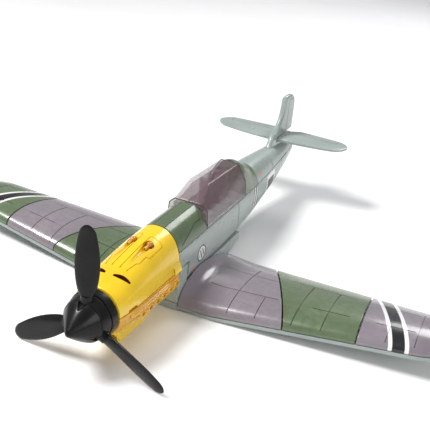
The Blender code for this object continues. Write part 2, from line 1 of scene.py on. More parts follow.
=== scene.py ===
"""Looks of the brick-built propeller plane model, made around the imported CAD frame.

Shapes are written in millimetres with stations counted aft from the front of the cowl, as in the CAD, and
become metres as each mesh is made. The nose points along -Y, +X is the port side and +Z is up.
"""
import math

import bmesh
import bpy
from mathutils import Matrix, Vector


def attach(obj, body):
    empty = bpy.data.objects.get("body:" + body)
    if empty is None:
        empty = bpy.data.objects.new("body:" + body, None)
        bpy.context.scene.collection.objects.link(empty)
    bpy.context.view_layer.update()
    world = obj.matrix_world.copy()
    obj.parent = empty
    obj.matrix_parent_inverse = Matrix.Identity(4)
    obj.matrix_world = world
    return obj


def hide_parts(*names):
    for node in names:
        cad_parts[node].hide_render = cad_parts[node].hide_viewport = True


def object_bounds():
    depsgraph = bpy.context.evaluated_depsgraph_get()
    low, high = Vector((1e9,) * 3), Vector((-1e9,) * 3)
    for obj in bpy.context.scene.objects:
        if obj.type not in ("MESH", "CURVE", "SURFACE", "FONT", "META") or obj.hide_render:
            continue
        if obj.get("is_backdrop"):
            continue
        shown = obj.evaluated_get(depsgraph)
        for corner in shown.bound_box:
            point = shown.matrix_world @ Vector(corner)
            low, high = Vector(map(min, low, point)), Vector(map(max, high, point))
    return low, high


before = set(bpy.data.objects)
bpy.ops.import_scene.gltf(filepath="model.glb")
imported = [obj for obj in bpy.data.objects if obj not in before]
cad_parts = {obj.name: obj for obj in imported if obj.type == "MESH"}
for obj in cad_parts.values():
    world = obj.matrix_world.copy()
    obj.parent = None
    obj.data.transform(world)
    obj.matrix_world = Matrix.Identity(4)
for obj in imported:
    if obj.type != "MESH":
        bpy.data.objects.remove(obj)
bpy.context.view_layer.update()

MM = 0.001
MIDDLE = 83.5
GAP = 0.3
PITCH = 8.0
STUD_RADIUS = 2.4
STUD_HEIGHT = 1.7
WING_STUD_HEIGHT = 1.4
TUBE_RADIUS = 3.0
WALL = 1.2
STUD_SIDES = 32
STUD_RIM = 0.26        # rounding of a stud's rim
STUD_SINK = 0.4        # how far a stud's foot reaches into the piece under it
TUBE_WALL = 0.8
TUBE_ROOF = 1.6        # solid top of a clutch tube
TURNED_SIDES = 72
HULL_POINTS = 72
ROUNDNESS = 2.3
SOFT_EDGE = 0.22       # rounding of moulded edges
GROOVE = 0.34          # width of engraved panel lines
GROOVE_DEPTH = 0.26
SHARP_ANGLE = math.radians(38)
FLAT_ANGLE = math.radians(0.6)
MERGE = 0.006
SLIVER = 0.004
LAST_MERGE = 0.004
LAST_SLIVER = 0.002
SIDES = (-1, 1)        # starboard, port

COWL_LENGTH = 40.0
HOOD_END = 64.0
CANOPY_END = 104.0
MAIN_END = 96.0
REAR_END = 120.0
SPINE_END = 144.0
BOOM_LOW_END = 152.0
BOOM_END = 160.0
TAIL_END = 184.0
SPINNER_TIP = -17.0

SHAFT_Z = 19.2
COWL_SPLIT_LOW = 12.3
COWL_SPLIT_HIGH = 18.9
ROOT_TOP = 9.6
DECK = 25.6
BOOM_SPLIT = 17.6
CANOPY_TOP = 41.4
CANOPY_SHOULDER = 34   # height that divides the canopy's lower panes from its roof
CANOPY_TUBES = (80.0, 88.0, 96.0)

PLATE = 1.6
ROOT_PLATE = 3.2
BODY_HALF = 10.3
WING_ROOT = 10.6
WING_TIP = 114.0
BEND = 24.0
DIHEDRAL = 0.105
PLATE_SPLIT = 66.0
TIP_START = 100.0
SKIN_WALL = 1.2
SKIN_EDGE = 2.6
ROOT_HEIGHT = 9.0
TIP_HEIGHT = 6.2
DIAGONAL = (58.0, 28.5)
TIP_CUT = (80.0, 76.0)
WHEEL_X = 36.0
WHEEL_Y = 54.5
WHEEL_RADIUS = 8.0
WHEEL_THICKNESS = 1.6

BLADE_ROOT = 6.0
BLADE_REACH = 35.0
BLADE_Y = -6.0
HUB_RADIUS = 8.6

STACK_START = 9
STACK_PITCH = 4.8
GUN_X = 3.5
TROUGH_START = 12.0
TROUGH_LENGTH = 15.0
SLIT_X = 1.65          # inboard end of an air slit
SLIT_SPAN = 5.7
SLIT_Y = 6.6
SLIT_SWEEP = 1.6
SLIT_WIDTH = 0.7
SLIT_BULGE = 0.9
COWL_RIBS = (17.5, 22.5)
COWL_VANES = (-2.9, -1.0, 1.0, 2.9)
COWL_POSTS = ((-4, 12, 14.6), (4, 12, 14.6), (-4, 28, 13.4), (4, 28, 13.4))  # x, station, top
TAILPLANE_HALF = 36.0
TAILPLANE_Z = 34.5

BADGE = (58.5, 17.6)   # station and height of the round badge
MASK_MARGIN = 0.08     # how far the slit's painted shade reaches past its walls
FLOOR_REACH = 3.0      # metres
FLOOR_DROP = 0.0002    # metres

# station, centre height, half width, rise above the centre, drop below it
FUSELAGE = (
    (0, 19.2, 9.2, 9.2, 9.2),
    (4, 19.2, 9.9, 10.4, 10.0),
    (12, 19.2, 10.4, 12.4, 11.6),
    (24, 18.6, 10.6, 15.0, 13.0),
    (40, 17.4, 10.6, 17.4, 13.0),
    (60, 16.6, 10.6, 18.6, 12.4),
    (96, 17.0, 10.4, 18.2, 11.2),
    (120, 18.4, 9.6, 16.2, 9.6),
    (146, 20.4, 7.6, 12.4, 7.6),
    (168, 22.4, 5.4, 8.8, 5.6),
    (184, 24.2, 3.2, 5.4, 3.6),
)


# ---------------------------------------------------------------- mesh tools

def to_object(name, bm):
    """Link a new object that holds a bmesh."""
    mesh = bpy.data.meshes.new(name)
    bm.to_mesh(mesh)
    bm.free()
    thing = bpy.data.objects.new(name, mesh)
    bpy.context.scene.collection.objects.link(thing)
    return thing


def add_object(name, bm):
    """Turn a bmesh in millimetres into an object in metres."""
    bmesh.ops.recalc_face_normals(bm, faces=bm.faces)
    place = Matrix.Scale(MM, 4) @ Matrix.Translation((0, -MIDDLE, 0))
    bmesh.ops.transform(bm, matrix=place, verts=bm.verts)
    return to_object(name, bm)


def edit(body, change):
    """Apply a change to a body's mesh as a bmesh."""
    bm = bmesh.new()
    bm.from_mesh(body.data)
    change(bm)
    bm.to_mesh(body.data)
    bm.free()
    return body


def across(side, near, far):
    """Low and high X of a range that is given for the port side."""
    return sorted((side * near, side * far))


def loft(name, rings):
    """Solid through rings that all have the same number of points; its sides are triangles."""
    bm = bmesh.new()
    rows = [[bm.verts.new(point) for point in ring] for ring in rings]
    count = len(rings[0])
    for near, far in zip(rows, rows[1:]):
        for k in range(count):
            bm.faces.new((near[k], near[(k + 1) % count], far[(k + 1) % count], far[k]))
    bm.faces.new(rows[0])
    bm.faces.new(rows[-1][::-1])
    bmesh.ops.triangulate(bm, faces=[face for face in bm.faces if len(face.verts) == 4])
    return add_object(name, bm)


def prism(name, outline, low, high, axis="Z"):
    """Extrude an outline: (x, y) points along Z, (y, z) points along X, or (x, z) points along Y."""
    def place(a, b, level):
        return {"Z": (a, b, level), "X": (level, a, b), "Y": (a, level, b)}[axis]
    return loft(name, [[place(a, b, level) for a, b in outline] for level in (low, high)])


def box(name, x, y, z):
    return prism(name, [(x[0], y[0]), (x[1], y[0]), (x[1], y[1]), (x[0], y[1])], z[0], z[1])


def turned(name, profile, origin, axis="Y", sides=TURNED_SIDES):
    """Closed solid turned from (distance along the axis, radius) points; radius 0 makes a point."""
    bm = bmesh.new()
    rows = []
    for along, radius in profile:
        row = []
        for k in range(1 if radius == 0 else sides):
            turn = 2 * math.pi * (k + 0.5) / sides
            a, b = radius * math.cos(turn), radius * math.sin(turn)
            offset = {"Y": (a, along, b), "Z": (a, b, along)}[axis]
            row.append(bm.verts.new([o + d for o, d in zip(origin, offset)]))
        rows.append(row)
    for near, far in zip(rows, rows[1:]):
        for k in range(sides):
            corners = [near[k % len(near)], near[(k + 1) % len(near)],
                       far[(k + 1) % len(far)], far[k % len(far)]]
            unique = list(dict.fromkeys(corners))
            if len(unique) > 2:
                bm.faces.new(unique)
    for row in (rows[0], rows[-1]):
        if len(row) > 1:
            bm.faces.new(row)
    return add_object(name, bm)


def rod(name, start, end, radius, sides=24, end_radius=None):
    """Round bar between two points."""
    bm = bmesh.new()
    start, end = Vector(start), Vector(end)
    turn = (end - start).to_track_quat("Z", "Y").to_matrix().to_4x4()
    place = Matrix.Translation((start + end) / 2) @ turn
    bmesh.ops.create_cone(bm, cap_ends=True, segments=sides, radius1=radius,
                          radius2=radius if end_radius is None else end_radius,
                          depth=(end - start).length, matrix=place)
    return add_object(name, bm)


def ball(name, centre, radius, stretch=(1, 1, 1)):
    bm = bmesh.new()
    place = Matrix.Translation(centre) @ Matrix.Diagonal((*stretch, 1))
    bmesh.ops.create_uvsphere(bm, u_segments=24, v_segments=14, radius=radius, matrix=place)
    return add_object(name, bm)


def gather(name, things):
    """Put the meshes of several separate solids into one object."""
    bm = bmesh.new()
    for thing in things:
        bm.from_mesh(thing.data)
        bpy.data.objects.remove(thing)
    return to_object(name, bm)


def combine(body, other, operation):
    """Apply one EXACT Boolean and remove the second object."""
    step = body.modifiers.new("step", "BOOLEAN")
    step.operation = operation
    step.solver = "EXACT"
    step.object = other
    apply_modifiers(body)
    bpy.data.objects.remove(other)
    if not body.data.polygons:
        raise RuntimeError("a Boolean left nothing of " + body.name)
    return body


def apply_modifiers(body):
    graph = bpy.context.evaluated_depsgraph_get()
    mesh = bpy.data.meshes.new_from_object(body.evaluated_get(graph))
    body.modifiers.clear()
    body.data = mesh
    return body


def join(body, *others):
    for other in others:
        combine(body, other, "UNION")
    return body


def cut(body, *others):
    for other in others:
        combine(body, other, "DIFFERENCE")
    return body


def keep(body, other):
    return combine(body, other, "INTERSECT")


def clean(body, last=False):
    """Merge near points and dissolve slivers; the last time, with finer limits, drop loose points too."""
    def change(bm):
        bmesh.ops.remove_doubles(bm, verts=bm.verts, dist=(LAST_MERGE if last else MERGE) * MM)
        if not last:
            bmesh.ops.dissolve_limit(bm, angle_limit=FLAT_ANGLE, verts=bm.verts, edges=bm.edges)
        bmesh.ops.dissolve_degenerate(bm, dist=(LAST_SLIVER if last else SLIVER) * MM, edges=bm.edges)
        if last:
            loose = [vert for vert in bm.verts if not vert.link_faces]
            bmesh.ops.delete(bm, geom=loose, context="VERTS")
    return edit(body, change)


def soften(body, width=SOFT_EDGE, segments=2):
    """Round the sharp edges of a moulded piece."""
    clean(body)
    bevel = body.modifiers.new("edge", "BEVEL")
    bevel.width = width * MM
    bevel.segments = segments
    bevel.limit_method = "ANGLE"
    bevel.angle_limit = SHARP_ANGLE
    bevel.use_clamp_overlap = False
    bevel.miter_outer = "MITER_SHARP"
    return apply_modifiers(body)


def engrave(body, strips, core):
    """Cut panel lines: strips are thin solids, core is the piece's shape without its outermost skin."""
    cut(strips, core)
    return cut(body, strips)


def shade(body):
    """Smooth shading with sharp edges and weighted normals."""
    body.data.shade_smooth()
    body.data.set_sharp_from_angle(angle=SHARP_ANGLE)
    weigh = body.modifiers.new("normals", "WEIGHTED_NORMAL")
    weigh.keep_sharp = True
    weigh.weight = 60
    return apply_modifiers(body)


def stud_profile(low, top, radius):
    """Stud with a softly rounded rim."""
    turns = (0, math.pi / 8, math.pi / 4, 3 * math.pi / 8, math.pi / 2)
    arc = [(top - STUD_RIM + STUD_RIM * math.sin(a), radius - STUD_RIM + STUD_RIM * math.cos(a))
           for a in turns]
    return [(low, radius)] + arc


def pins(name, profile, places, sides=STUD_SIDES):
    """Equal upright turned solids in one object."""
    return gather(name, [turned(name, profile, (x, y, 0), "Z", sides) for x, y in places])


def studs(body, places, top, radius=STUD_RADIUS, height=STUD_HEIGHT):
    """Studs that stand on a flat top."""
    return join(body, pins("studs", stud_profile(top - STUD_SINK, top + height, radius), places))


def hollow_studs(body, places, top):
    """Ring-shaped studs that stand on a flat top."""
    studs(body, places, top, height=WING_STUD_HEIGHT)
    bore = [(top + 0.1, 1.45), (top + WING_STUD_HEIGHT - 0.2, 1.45), (top + STUD_HEIGHT + 1, 2.6)]
    return cut(body, pins("bores", bore, places))


def tubes(body, places, low, high):
    """Gripping tubes that hang inside a hollow piece; each has a blind bore from below."""
    join(body, pins("tubes", [(low, TUBE_RADIUS), (high, TUBE_RADIUS)], places))
    bore = TUBE_RADIUS - TUBE_WALL
    return cut(body, pins("bores", [(low - 1, bore), (high - TUBE_ROOF, bore)], places))


# ---------------------------------------------------------------- fuselage

def section(station):
    """Centre height, half width, rise and drop of the fuselage at a station, on a smooth curve."""
    rows = FUSELAGE
    index = 0
    while index < len(rows) - 2 and station > rows[index + 1][0]:
        index += 1
    near, far = rows[index], rows[index + 1]
    before = rows[max(index - 1, 0)]
    after = rows[min(index + 2, len(rows) - 1)]
    span = far[0] - near[0]
    t = (station - near[0]) / span
    values = []
    for k in range(1, 5):
        slope_near = (far[k] - before[k]) / (far[0] - before[0]) * span
        slope_far = (after[k] - near[k]) / (after[0] - near[0]) * span
        values.append((2 * t**3 - 3 * t**2 + 1) * near[k] + (t**3 - 2 * t**2 + t) * slope_near
                      + (3 * t**2 - 2 * t**3) * far[k] + (t**3 - t**2) * slope_far)
    return values


def power(value):
    return math.copysign(abs(value) ** (2 / ROUNDNESS), value)


def hull_ring(station, inset=0.0, raise_top=1.0):
    """Outline of the fuselage at a station; raise_top stretches what stands above the deck."""
    middle, half, rise, drop = section(station)
    ring = []
    for k in range(HULL_POINTS):
        turn = 2 * math.pi * (k + 0.5) / HULL_POINTS
        x = (half - inset) * power(math.cos(turn))
        up = power(math.sin(turn))
        z = middle + up * ((rise if up > 0 else drop) - inset)
        if z > DECK:
            z = DECK + (z - DECK) * raise_top
        ring.append((x, station, z))
    return ring


def stations(start, end, step=4.0):
    count = max(1, round((end - start) / step))
    return [start + (end - start) * k / count for k in range(count + 1)]


def hull(name, start, end, inset=0.0):
    return loft(name, [hull_ring(y, inset) for y in stations(start, end)])


def hull_top(station):
    middle, _, rise, _ = section(station)
    return middle + rise


def slab(low, high):
    """Endless horizontal layer that trims a fuselage piece between two levels."""
    return box("layer", (-60, 60), (-60, 240), (low, high))


def layer_of_hull(name, start, end, low, high, inset=0.0):
    return keep(hull(name, start, end, inset), slab(low, high))


def hollow_layer(name, start, end, low, high, ceiling, front=WALL, back=WALL):
    """Fuselage piece that is open below, with end walls; a wall of 0 leaves that end open."""
    body = layer_of_hull(name, start, end, low, high)
    inner_start = start + front if front else start - 1
    inner_end = end - back if back else end + 1
    cavity = layer_of_hull("cavity", max(inner_start, 0.5), inner_end, low - 5, ceiling, WALL)
    return cut(body, cavity)


def pair_row(first, count):
    """Two rows of studs, one pitch apart."""
    return [(x, first + PITCH * k) for k in range(count) for x in (-PITCH / 2, PITCH / 2)]


def single_row(first, count):
    return [(0.0, first + PITCH * k) for k in range(count)]


def hull_lines(body, start, end, boxes, depth=GROOVE_DEPTH):
    """Engrave panel lines where thin boxes cross the skin of the fuselage."""
    strips = gather("strips", boxes)
    return engrave(body, strips, hull("core", start - 2, end + 2, depth))


def main_fuselage_brick():
    body = hollow_layer("body", COWL_LENGTH, MAIN_END - GAP, ROOT_TOP + GAP, DECK, DECK - WALL)
    cut(body, box("notch", (-12, 12), (COWL_LENGTH - 1, COWL_LENGTH + 8), (5, COWL_SPLIT_HIGH + GAP)))
    soften(body, 0.34)
    tubes(body, single_row(COWL_LENGTH + 16, 5), ROOT_TOP + 2 * GAP, DECK - 0.8)
    return studs(body, pair_row(COWL_LENGTH + 4, 7), DECK)


def wing_root_brick():
    low = ROOT_PLATE + GAP
    rear = MAIN_END + 4 - GAP
    outline = [(COWL_LENGTH, low), (88, low), (rear, 6.2), (rear, ROOT_TOP), (COWL_LENGTH, ROOT_TOP)]
    body = prism("body", outline, -BODY_HALF, BODY_HALF, "X")
    inside = BODY_HALF - WALL
    cut(body, box("cavity", (-inside, inside), (COWL_LENGTH + WALL, 86), (0, ROOT_TOP - WALL)))
    lug_y, lug_z = (COWL_LENGTH - 4, COWL_LENGTH + 1), (8.0, 9.3)
    join(body, gather("lugs", [box("lug", across(side, 1.0, 4.2), lug_y, lug_z) for side in SIDES]))
    soften(body)
    clip = [(0.2, 9.3), (7.3, 9.3), (7.3, 18.2), (1.6, 18.2), (1.6, 16.0), (0.2, 15.2)]
    clip = [(COWL_LENGTH + y, z) for y, z in clip]
    for side in SIDES:
        join(body, soften(prism("clip", clip, *across(side, 7.4, 10.3), "X"), 0.5, 3))
    tubes(body, [(0, 56), (0, 78)], low + GAP, ROOT_TOP - 0.8)
    return studs(body, pair_row(52, 6), ROOT_TOP)


def rear_fuselage_brick():
    body = hollow_layer("body", MAIN_END, REAR_END - GAP, ROOT_TOP + GAP, DECK, DECK - WALL)
    soften(body, 0.34)
    tubes(body, single_row(MAIN_END + 8, 1), ROOT_TOP + 2 * GAP, DECK - 0.8)
    return studs(body, pair_row(MAIN_END + 4, 2) + [(0, MAIN_END + 20)], DECK)


def boom_upper_brick():
    body = hollow_layer("body", REAR_END, BOOM_END - GAP, BOOM_SPLIT + GAP, DECK, DECK - WALL)
    soften(body, 0.3)
    return studs(body, single_row(REAR_END + 4, 5), DECK)


def boom_lower_brick():
    body = layer_of_hull("body", REAR_END, BOOM_LOW_END - GAP, 0, BOOM_SPLIT)
    soften(body, 0.3)
    places = [(-PITCH / 2, REAR_END + 4), (PITCH / 2, REAR_END + 4)] + single_row(REAR_END + 12, 3)
    return studs(body, places, BOOM_SPLIT)


def spine_brick():
    half = 3.9
    inside = half - 1.1
    low, high = DECK + GAP, DECK + 3.5
    start, end = REAR_END - PITCH + GAP, REAR_END + 2 * PITCH - GAP
    body = box("body", (-half, half), (start, end), (low, high))
    ceiling = DECK + STUD_HEIGHT + GAP
    cut(body, box("cavity", (-inside, inside), (start + 1.2, end - 1.2), (low - 1, ceiling)))
    soften(body)
    return studs(body, single_row(REAR_END + 4, 2), high)


def belly_fairing():
    body = soften(layer_of_hull("body", MAIN_END + 4, REAR_END - GAP, 0, ROOT_TOP))
    places = [(x, y) for x in (-2.7, 2.7) for y in (MAIN_END + 12.5, MAIN_END + 16.6)]
    return studs(body, places, ROOT_TOP, 1.6)


# ---------------------------------------------------------------- nose

def shaft_channel():
    bore = rod("channel", (0, -2, SHAFT_Z), (0, 27, SHAFT_Z), 1.9, 32)
    return join(bore, rod("flange room", (0, 25.6, SHAFT_Z), (0, 29.6, SHAFT_Z), 3.6, 32))


def oval_loft(name, centres, sizes, count=18):
    """Loft of ovals that lie in planes across X: centres are points, sizes are (along, up) half axes."""
    rings = []
    for (x, y, z), (along, up) in zip(centres, sizes):
        turns = [2 * math.pi * k / count for k in range(count)]
        rings.append([(x, y + along * math.cos(a), z + up * math.sin(a)) for a in turns])
    return loft(name, rings)


def exhaust_stub(side, y):
    """Flattened oval stack that leans aft and droops."""
    half = section(y)[1]
    steps = (0.0, 0.35, 0.7, 0.9, 1.0)
    centres = [(side * (half - 1.6 + 3.0 * t), y + 1.5 + 1.1 * t, 15.9 - 0.35 * t) for t in steps]
    sizes = [(1.75 - 0.25 * (t > 0.95), 1.35 + 0.15 * t - 0.3 * (t > 0.95)) for t in steps]
    return oval_loft("stub", centres, sizes)


def stub_mouth(side, y):
    """Oval hole in the end of a stack."""
    half = section(y)[1]
    centres = [(side * (half + 0.5 + 1.6 * t), y + 2.5 + 0.3 * t, 15.55) for t in (0.0, 1.0)]
    return oval_loft("mouth", centres, [(1.0, 0.8), (1.15, 0.95)])


def exhaust_ridge(side):
    """Stepped lengthwise ledge above the stacks, thicker towards its foot."""
    start, end = 5.5, 38.3
    steps = ((1.0, 16.6), (0.95, 17.15), (0.6, 17.25), (0.55, 17.8), (0.2, 17.9), (0.1, 18.5))
    rings = []
    for y in stations(start, end, 3):
        half = section(y)[1]
        fade = min(1.0, (y - start) / 3.0 + 0.25, (end - y) / 2.0 + 0.25)
        outline = [(half - 1.5, 16.6)] + [(half + out * fade, z) for out, z in steps] + [(half - 1.5, 18.6)]
        rings.append([(side * x, y, z) for x, z in outline])
    return loft("ridge", rings)


def exhaust_cowl():
    body = layer_of_hull("body", 0, COWL_LENGTH - GAP, COWL_SPLIT_LOW + GAP, COWL_SPLIT_HIGH)
    cut(body, layer_of_hull("cavity", WALL, 20, 0, 15.4, WALL))
    cut(body, layer_of_hull("cavity", 21.5, COWL_LENGTH - GAP - WALL, 0, 13.8, WALL))
    join(body, box("tongue", (-7, 7), (COWL_LENGTH - 1.5, COWL_LENGTH + 7.4),
                   (COWL_SPLIT_LOW + GAP, COWL_SPLIT_HIGH)))
    cut(body, shaft_channel())
    soften(body, 0.18)
    for side in SIDES:
        join(body, exhaust_ridge(side))
    places = [(side, STACK_START + STACK_PITCH * k) for side in SIDES for k in range(6)]
    join(body, gather("stubs", [exhaust_stub(*place) for place in places]))
    cut(body, gather("mouths", [stub_mouth(*place) for place in places]))
    hull_lines(body, 0, COWL_LENGTH, [box("line", (-14, 14), (3, 37), (13.7, 13.7 + GROOVE))], 0.32)
    return studs(body, [(-5, 16), (5, 16), (-5, 34), (5, 34), (-4, 44), (4, 44)], COWL_SPLIT_HIGH)


def trough(side):
    """Gun trough that widens aft into a round recess in the top of the cowl."""
    rings = []
    count = 20
    for k in range(13):
        t = k / 12
        y = TROUGH_START + TROUGH_LENGTH * t
        radius = 0.55 + 1.15 * t ** 1.3
        z = hull_top(y) - 0.25 + 0.35 * (1 - t)
        ring = []
        for j in range(count):
            a = 2 * math.pi * j / count
            ring.append((side * GUN_X + radius * math.cos(a), y, z + radius * 0.95 * math.sin(a)))
        rings.append(ring)
    end = TROUGH_START + TROUGH_LENGTH
    recess = ball("recess", (side * GUN_X, end, hull_top(end) - 0.3), 2.15, (1, 1.15, 0.9))
    return join(loft("trough", rings), recess)


def muzzle(side):
    """Rounded gun muzzle that stands at the aft end of its trough."""
    x = side * GUN_X
    y = 27.6
    top = hull_top(y)
    barrel = rod("barrel", (x, 24.0, top - 1.0), (x, 29.0, top - 0.75), 0.62, 20)
    body = join(ball("end", (x, y, top - 0.75), 1.12), barrel)
    return cut(body, rod("bore", (x, 23.5, top - 1.0), (x, 25.2, top - 0.95), 0.34, 12))


def slit(side):
    """Cutter for one of the curved air slits on top of the cowl."""
    front = []
    for k in range(11):
        a = math.radians(7 + 26 * k / 10)
        front.append((side * 13.5 * math.sin(a), SLIT_Y + SLIT_SWEEP * (k / 10) ** 2))
    back = [(x, y + SLIT_WIDTH + SLIT_BULGE * math.sin(math.pi * k / 10)) for k, (x, y) in enumerate(front)]
    cutter = prism("slit", front + back[::-1], hull_top(6) - 6, hull_top(9) + 6)
    return cut(cutter, hull("core", 0.5, 14, 1.9))


def gun_cover_seam(side):
    """Cutter for the engraved outline round one gun."""
    lane = [(1.4, 11.0), (1.4, 31.0), (1.9, 32.0), (6.4, 32.0), (6.9, 31.0),
            (6.9, 22.5), (5.9, 21.4), (5.9, 17.0), (5.2, 16.0), (4.4, 11.0)]
    inner = [(1.4 + GROOVE, 11.0), (1.4 + GROOVE, 30.9), (1.9 + GROOVE / 2, 32.0 - GROOVE),
             (6.4 - GROOVE / 2, 32.0 - GROOVE), (6.9 - GROOVE, 30.9), (6.9 - GROOVE, 22.6),
             (5.9 - GROOVE, 21.5), (5.9 - GROOVE, 17.1), (5.2 - GROOVE, 16.1), (4.4 - GROOVE, 11.0)]
    ring = prism("seam", [(side * x, y) for x, y in lane], DECK - 4, 60)
    inside = [(side * x, y - (0.2 if y < 12 else 0)) for x, y in inner]
    return cut(ring, prism("inside", inside, DECK - 5, 61))


def upper_cowl():
    body = layer_of_hull("body", 0, COWL_LENGTH - GAP, COWL_SPLIT_HIGH + GAP, 60)
    cut(body, hull("cavity", 2.0, COWL_LENGTH - GAP - 1.8, 2.9), shaft_channel())
    notch_z = (COWL_SPLIT_HIGH, COWL_SPLIT_HIGH + 1.15)
    notches = [box("notch", across(side, 7.0, 13.0), (4.6, 9.4), notch_z) for side in SIDES]
    cut(body, gather("notches", notches))
    foot = [(9.0, 19.2), (11.6, 19.2), (11.7, 19.9), (10.5, 22.2), (9.0, 22.4)]
    feet = [[(side * x, z) for x, z in foot] for side in SIDES]
    flares = [prism("flare", outline, 34.5, COWL_LENGTH - GAP, "Y") for outline in feet]
    join(body, gather("flares", flares))
    soften(body, 0.3)
    for side in SIDES:
        cut(body, trough(side))
        cut(body, slit(side))
        engrave(body, gun_cover_seam(side), hull("core", 0.5, COWL_LENGTH, GROOVE_DEPTH))
        join(body, muzzle(side))
    return body


def lower_cowl():
    body = soften(layer_of_hull("body", 0, COWL_LENGTH - GAP, 0, COWL_SPLIT_LOW), 0.2)
    lip = [(6.5 + 1.2 * (1 - math.cos(a)), 3.4 + 0.9 * (1 - math.sin(a))) for a in (0.0, 0.5, 1.0)]
    scoop = [(5, 8.9)] + lip + [(10, 3.2), (22, 3.2), (27, 4.5), (31, 6.5), (31, 8.9)]
    join(body, soften(prism("scoop", scoop, -5.6, 5.6, "X"), 0.8, 3))
    cavity = layer_of_hull("cavity", WALL, COWL_LENGTH - GAP - WALL, 0, 20, WALL)
    cut(cavity, box("floor", (-20, 20), (-20, 60), (-1, 7.6)))
    cut(body, cavity)
    cut(body, prism("mouth", [(0, 4.4), (16, 4.4), (16, 6.8), (0, 6.8)], -4.4, 4.4, "X"))
    cut(body, box("lug notch", (-4.6, 4.6), (COWL_LENGTH - 3, COWL_LENGTH + 1), (6.8, 20)))
    inside = [box("rib", (-9.2, 9.2), (y, y + 1.0), (7.2, 10.6)) for y in COWL_RIBS]
    vanes = [box("vane", (x - 0.3, x + 0.3), (7.5, 15.5), (4.0, 6.9)) for x in COWL_VANES]
    bores = []
    for x, y, top in COWL_POSTS:
        inside.append(pins("post", stud_profile(7.0, top, STUD_RADIUS), [(x, y)]))
        bores.append(pins("bore", [(9.0, 1.2), (top - 0.2, 1.2), (top + 1, 2.3)], [(x, y)], 24))
    room = hull("room", 0.5, COWL_LENGTH - 1, 0.5)
    join(body, keep(gather("inside", inside), room), gather("vanes", vanes))
    return cut(body, gather("bores", bores))


def spinner_profile():
    """Sharp ogive that meets the hub."""
    base = SPINNER_TIP + 0.4
    profile = [(SPINNER_TIP, 0), (SPINNER_TIP + 0.12, 0.5), (base, 0.95)]
    for k in range(1, 15):
        t = k / 14
        profile.append((base + 8.3 * t, 0.95 + 6.85 * (0.82 * t + 0.18 * math.sin(t * math.pi / 2))))
    return profile


def spinner_cone():
    body = turned("body", spinner_profile(), (0, 0, SHAFT_Z))
    grooves = []
    for k in range(3):
        turn = 2 * math.pi * k / 3
        start = Vector((5.9 * math.sin(turn), -13.2, SHAFT_Z + 5.9 * math.cos(turn)))
        end = Vector((9.2 * math.sin(turn), -7.0, SHAFT_Z + 9.2 * math.cos(turn)))
        grooves.append(rod("relief", start, end, 0.4, 24, 2.5))
    return cut(body, gather("reliefs", grooves))


def blade(turn):
    """Paddle blade with a twist and a rounded tip, on a round root."""
    rings = []
    spans = 34
    around = 20
    for k in range(spans):
        t = math.sin(math.pi / 2 * k / (spans - 1))
        reach = BLADE_ROOT + (BLADE_REACH - BLADE_ROOT) * t
        broad = 1.9 + 2.85 * math.sin(math.pi * min(1.0, 0.96 * t ** 0.85)) ** 0.9
        tip = math.sqrt(max(0.0, 1 - max(0.0, (t - 0.90) / 0.1) ** 2.2))
        root = min(1.0, t / 0.16)
        chord = max(broad * root + 1.75 * (1 - root), 1.2) * max(tip, 0.04)
        thick = (1.55 * (1 - t) ** 1.3 + 0.42) * max(tip, 0.1)
        twist = math.radians(50 - 32 * t)
        ring = []
        for j in range(around):
            a = 2 * math.pi * j / around
            u, v = chord * math.cos(a), thick * math.copysign(abs(math.sin(a)) ** 1.2, math.sin(a))
            x = u * math.cos(twist) - v * math.sin(twist)
            y = u * math.sin(twist) * 0.55 + v * math.cos(twist)
            ring.append((x * math.cos(turn) + reach * math.sin(turn), y + BLADE_Y,
                         -x * math.sin(turn) + reach * math.cos(turn) + SHAFT_Z))
        rings.append(ring)
    return loft("blade", rings)


def propeller():
    profile = [(-8.0, 7.8), (-7.2, 8.05), (-6.0, 8.3), (-5.0, 8.48), (-4.0, HUB_RADIUS)]
    body = soften(turned("body", profile, (0, 0, SHAFT_Z)), 0.15)
    centre = Vector((0, BLADE_Y, SHAFT_Z))
    for k in range(3):
        turn = 2 * math.pi * k / 3
        root = Vector((math.sin(turn), 0, math.cos(turn)))
        collar = rod("collar", centre + root * BLADE_ROOT, centre + root * 9.6, 2.5, 28, 2.1)
        join(body, soften(collar, 0.3), blade(turn))
    return cut(body, rod("bore", (0, -6.8, SHAFT_Z), (0, 0, SHAFT_Z), 1.8))


def spinner_backplate():
    profile = [(-3.7, HUB_RADIUS + 0.1), (-3.4, HUB_RADIUS + 0.28), (-0.8, 9.0), (-GAP - 0.1, 8.8)]
    body = turned("body", profile, (0, 0, SHAFT_Z))
    return cut(body, rod("bore", (0, -6, SHAFT_Z), (0, 2, SHAFT_Z), 1.8))


def propeller_shaft():
    body = turned("body", [(-6.5, 1.2), (-6.2, 1.5), (26.5, 1.5)], (0, 0, SHAFT_Z), sides=32)
    flange = turned("flange", [(26, 2.9), (26.3, 3.2), (28.7, 3.2), (29, 2.9)], (0, 0, SHAFT_Z), sides=48)
    flats = [box("flat", (-4, 4), (-8, -1), (SHAFT_Z + low, SHAFT_Z + high))
             for low, high in ((-4, -1.25), (1.25, 4))]
    return join(cut(body, gather("flats", flats)), flange)


# ---------------------------------------------------------------- top covers

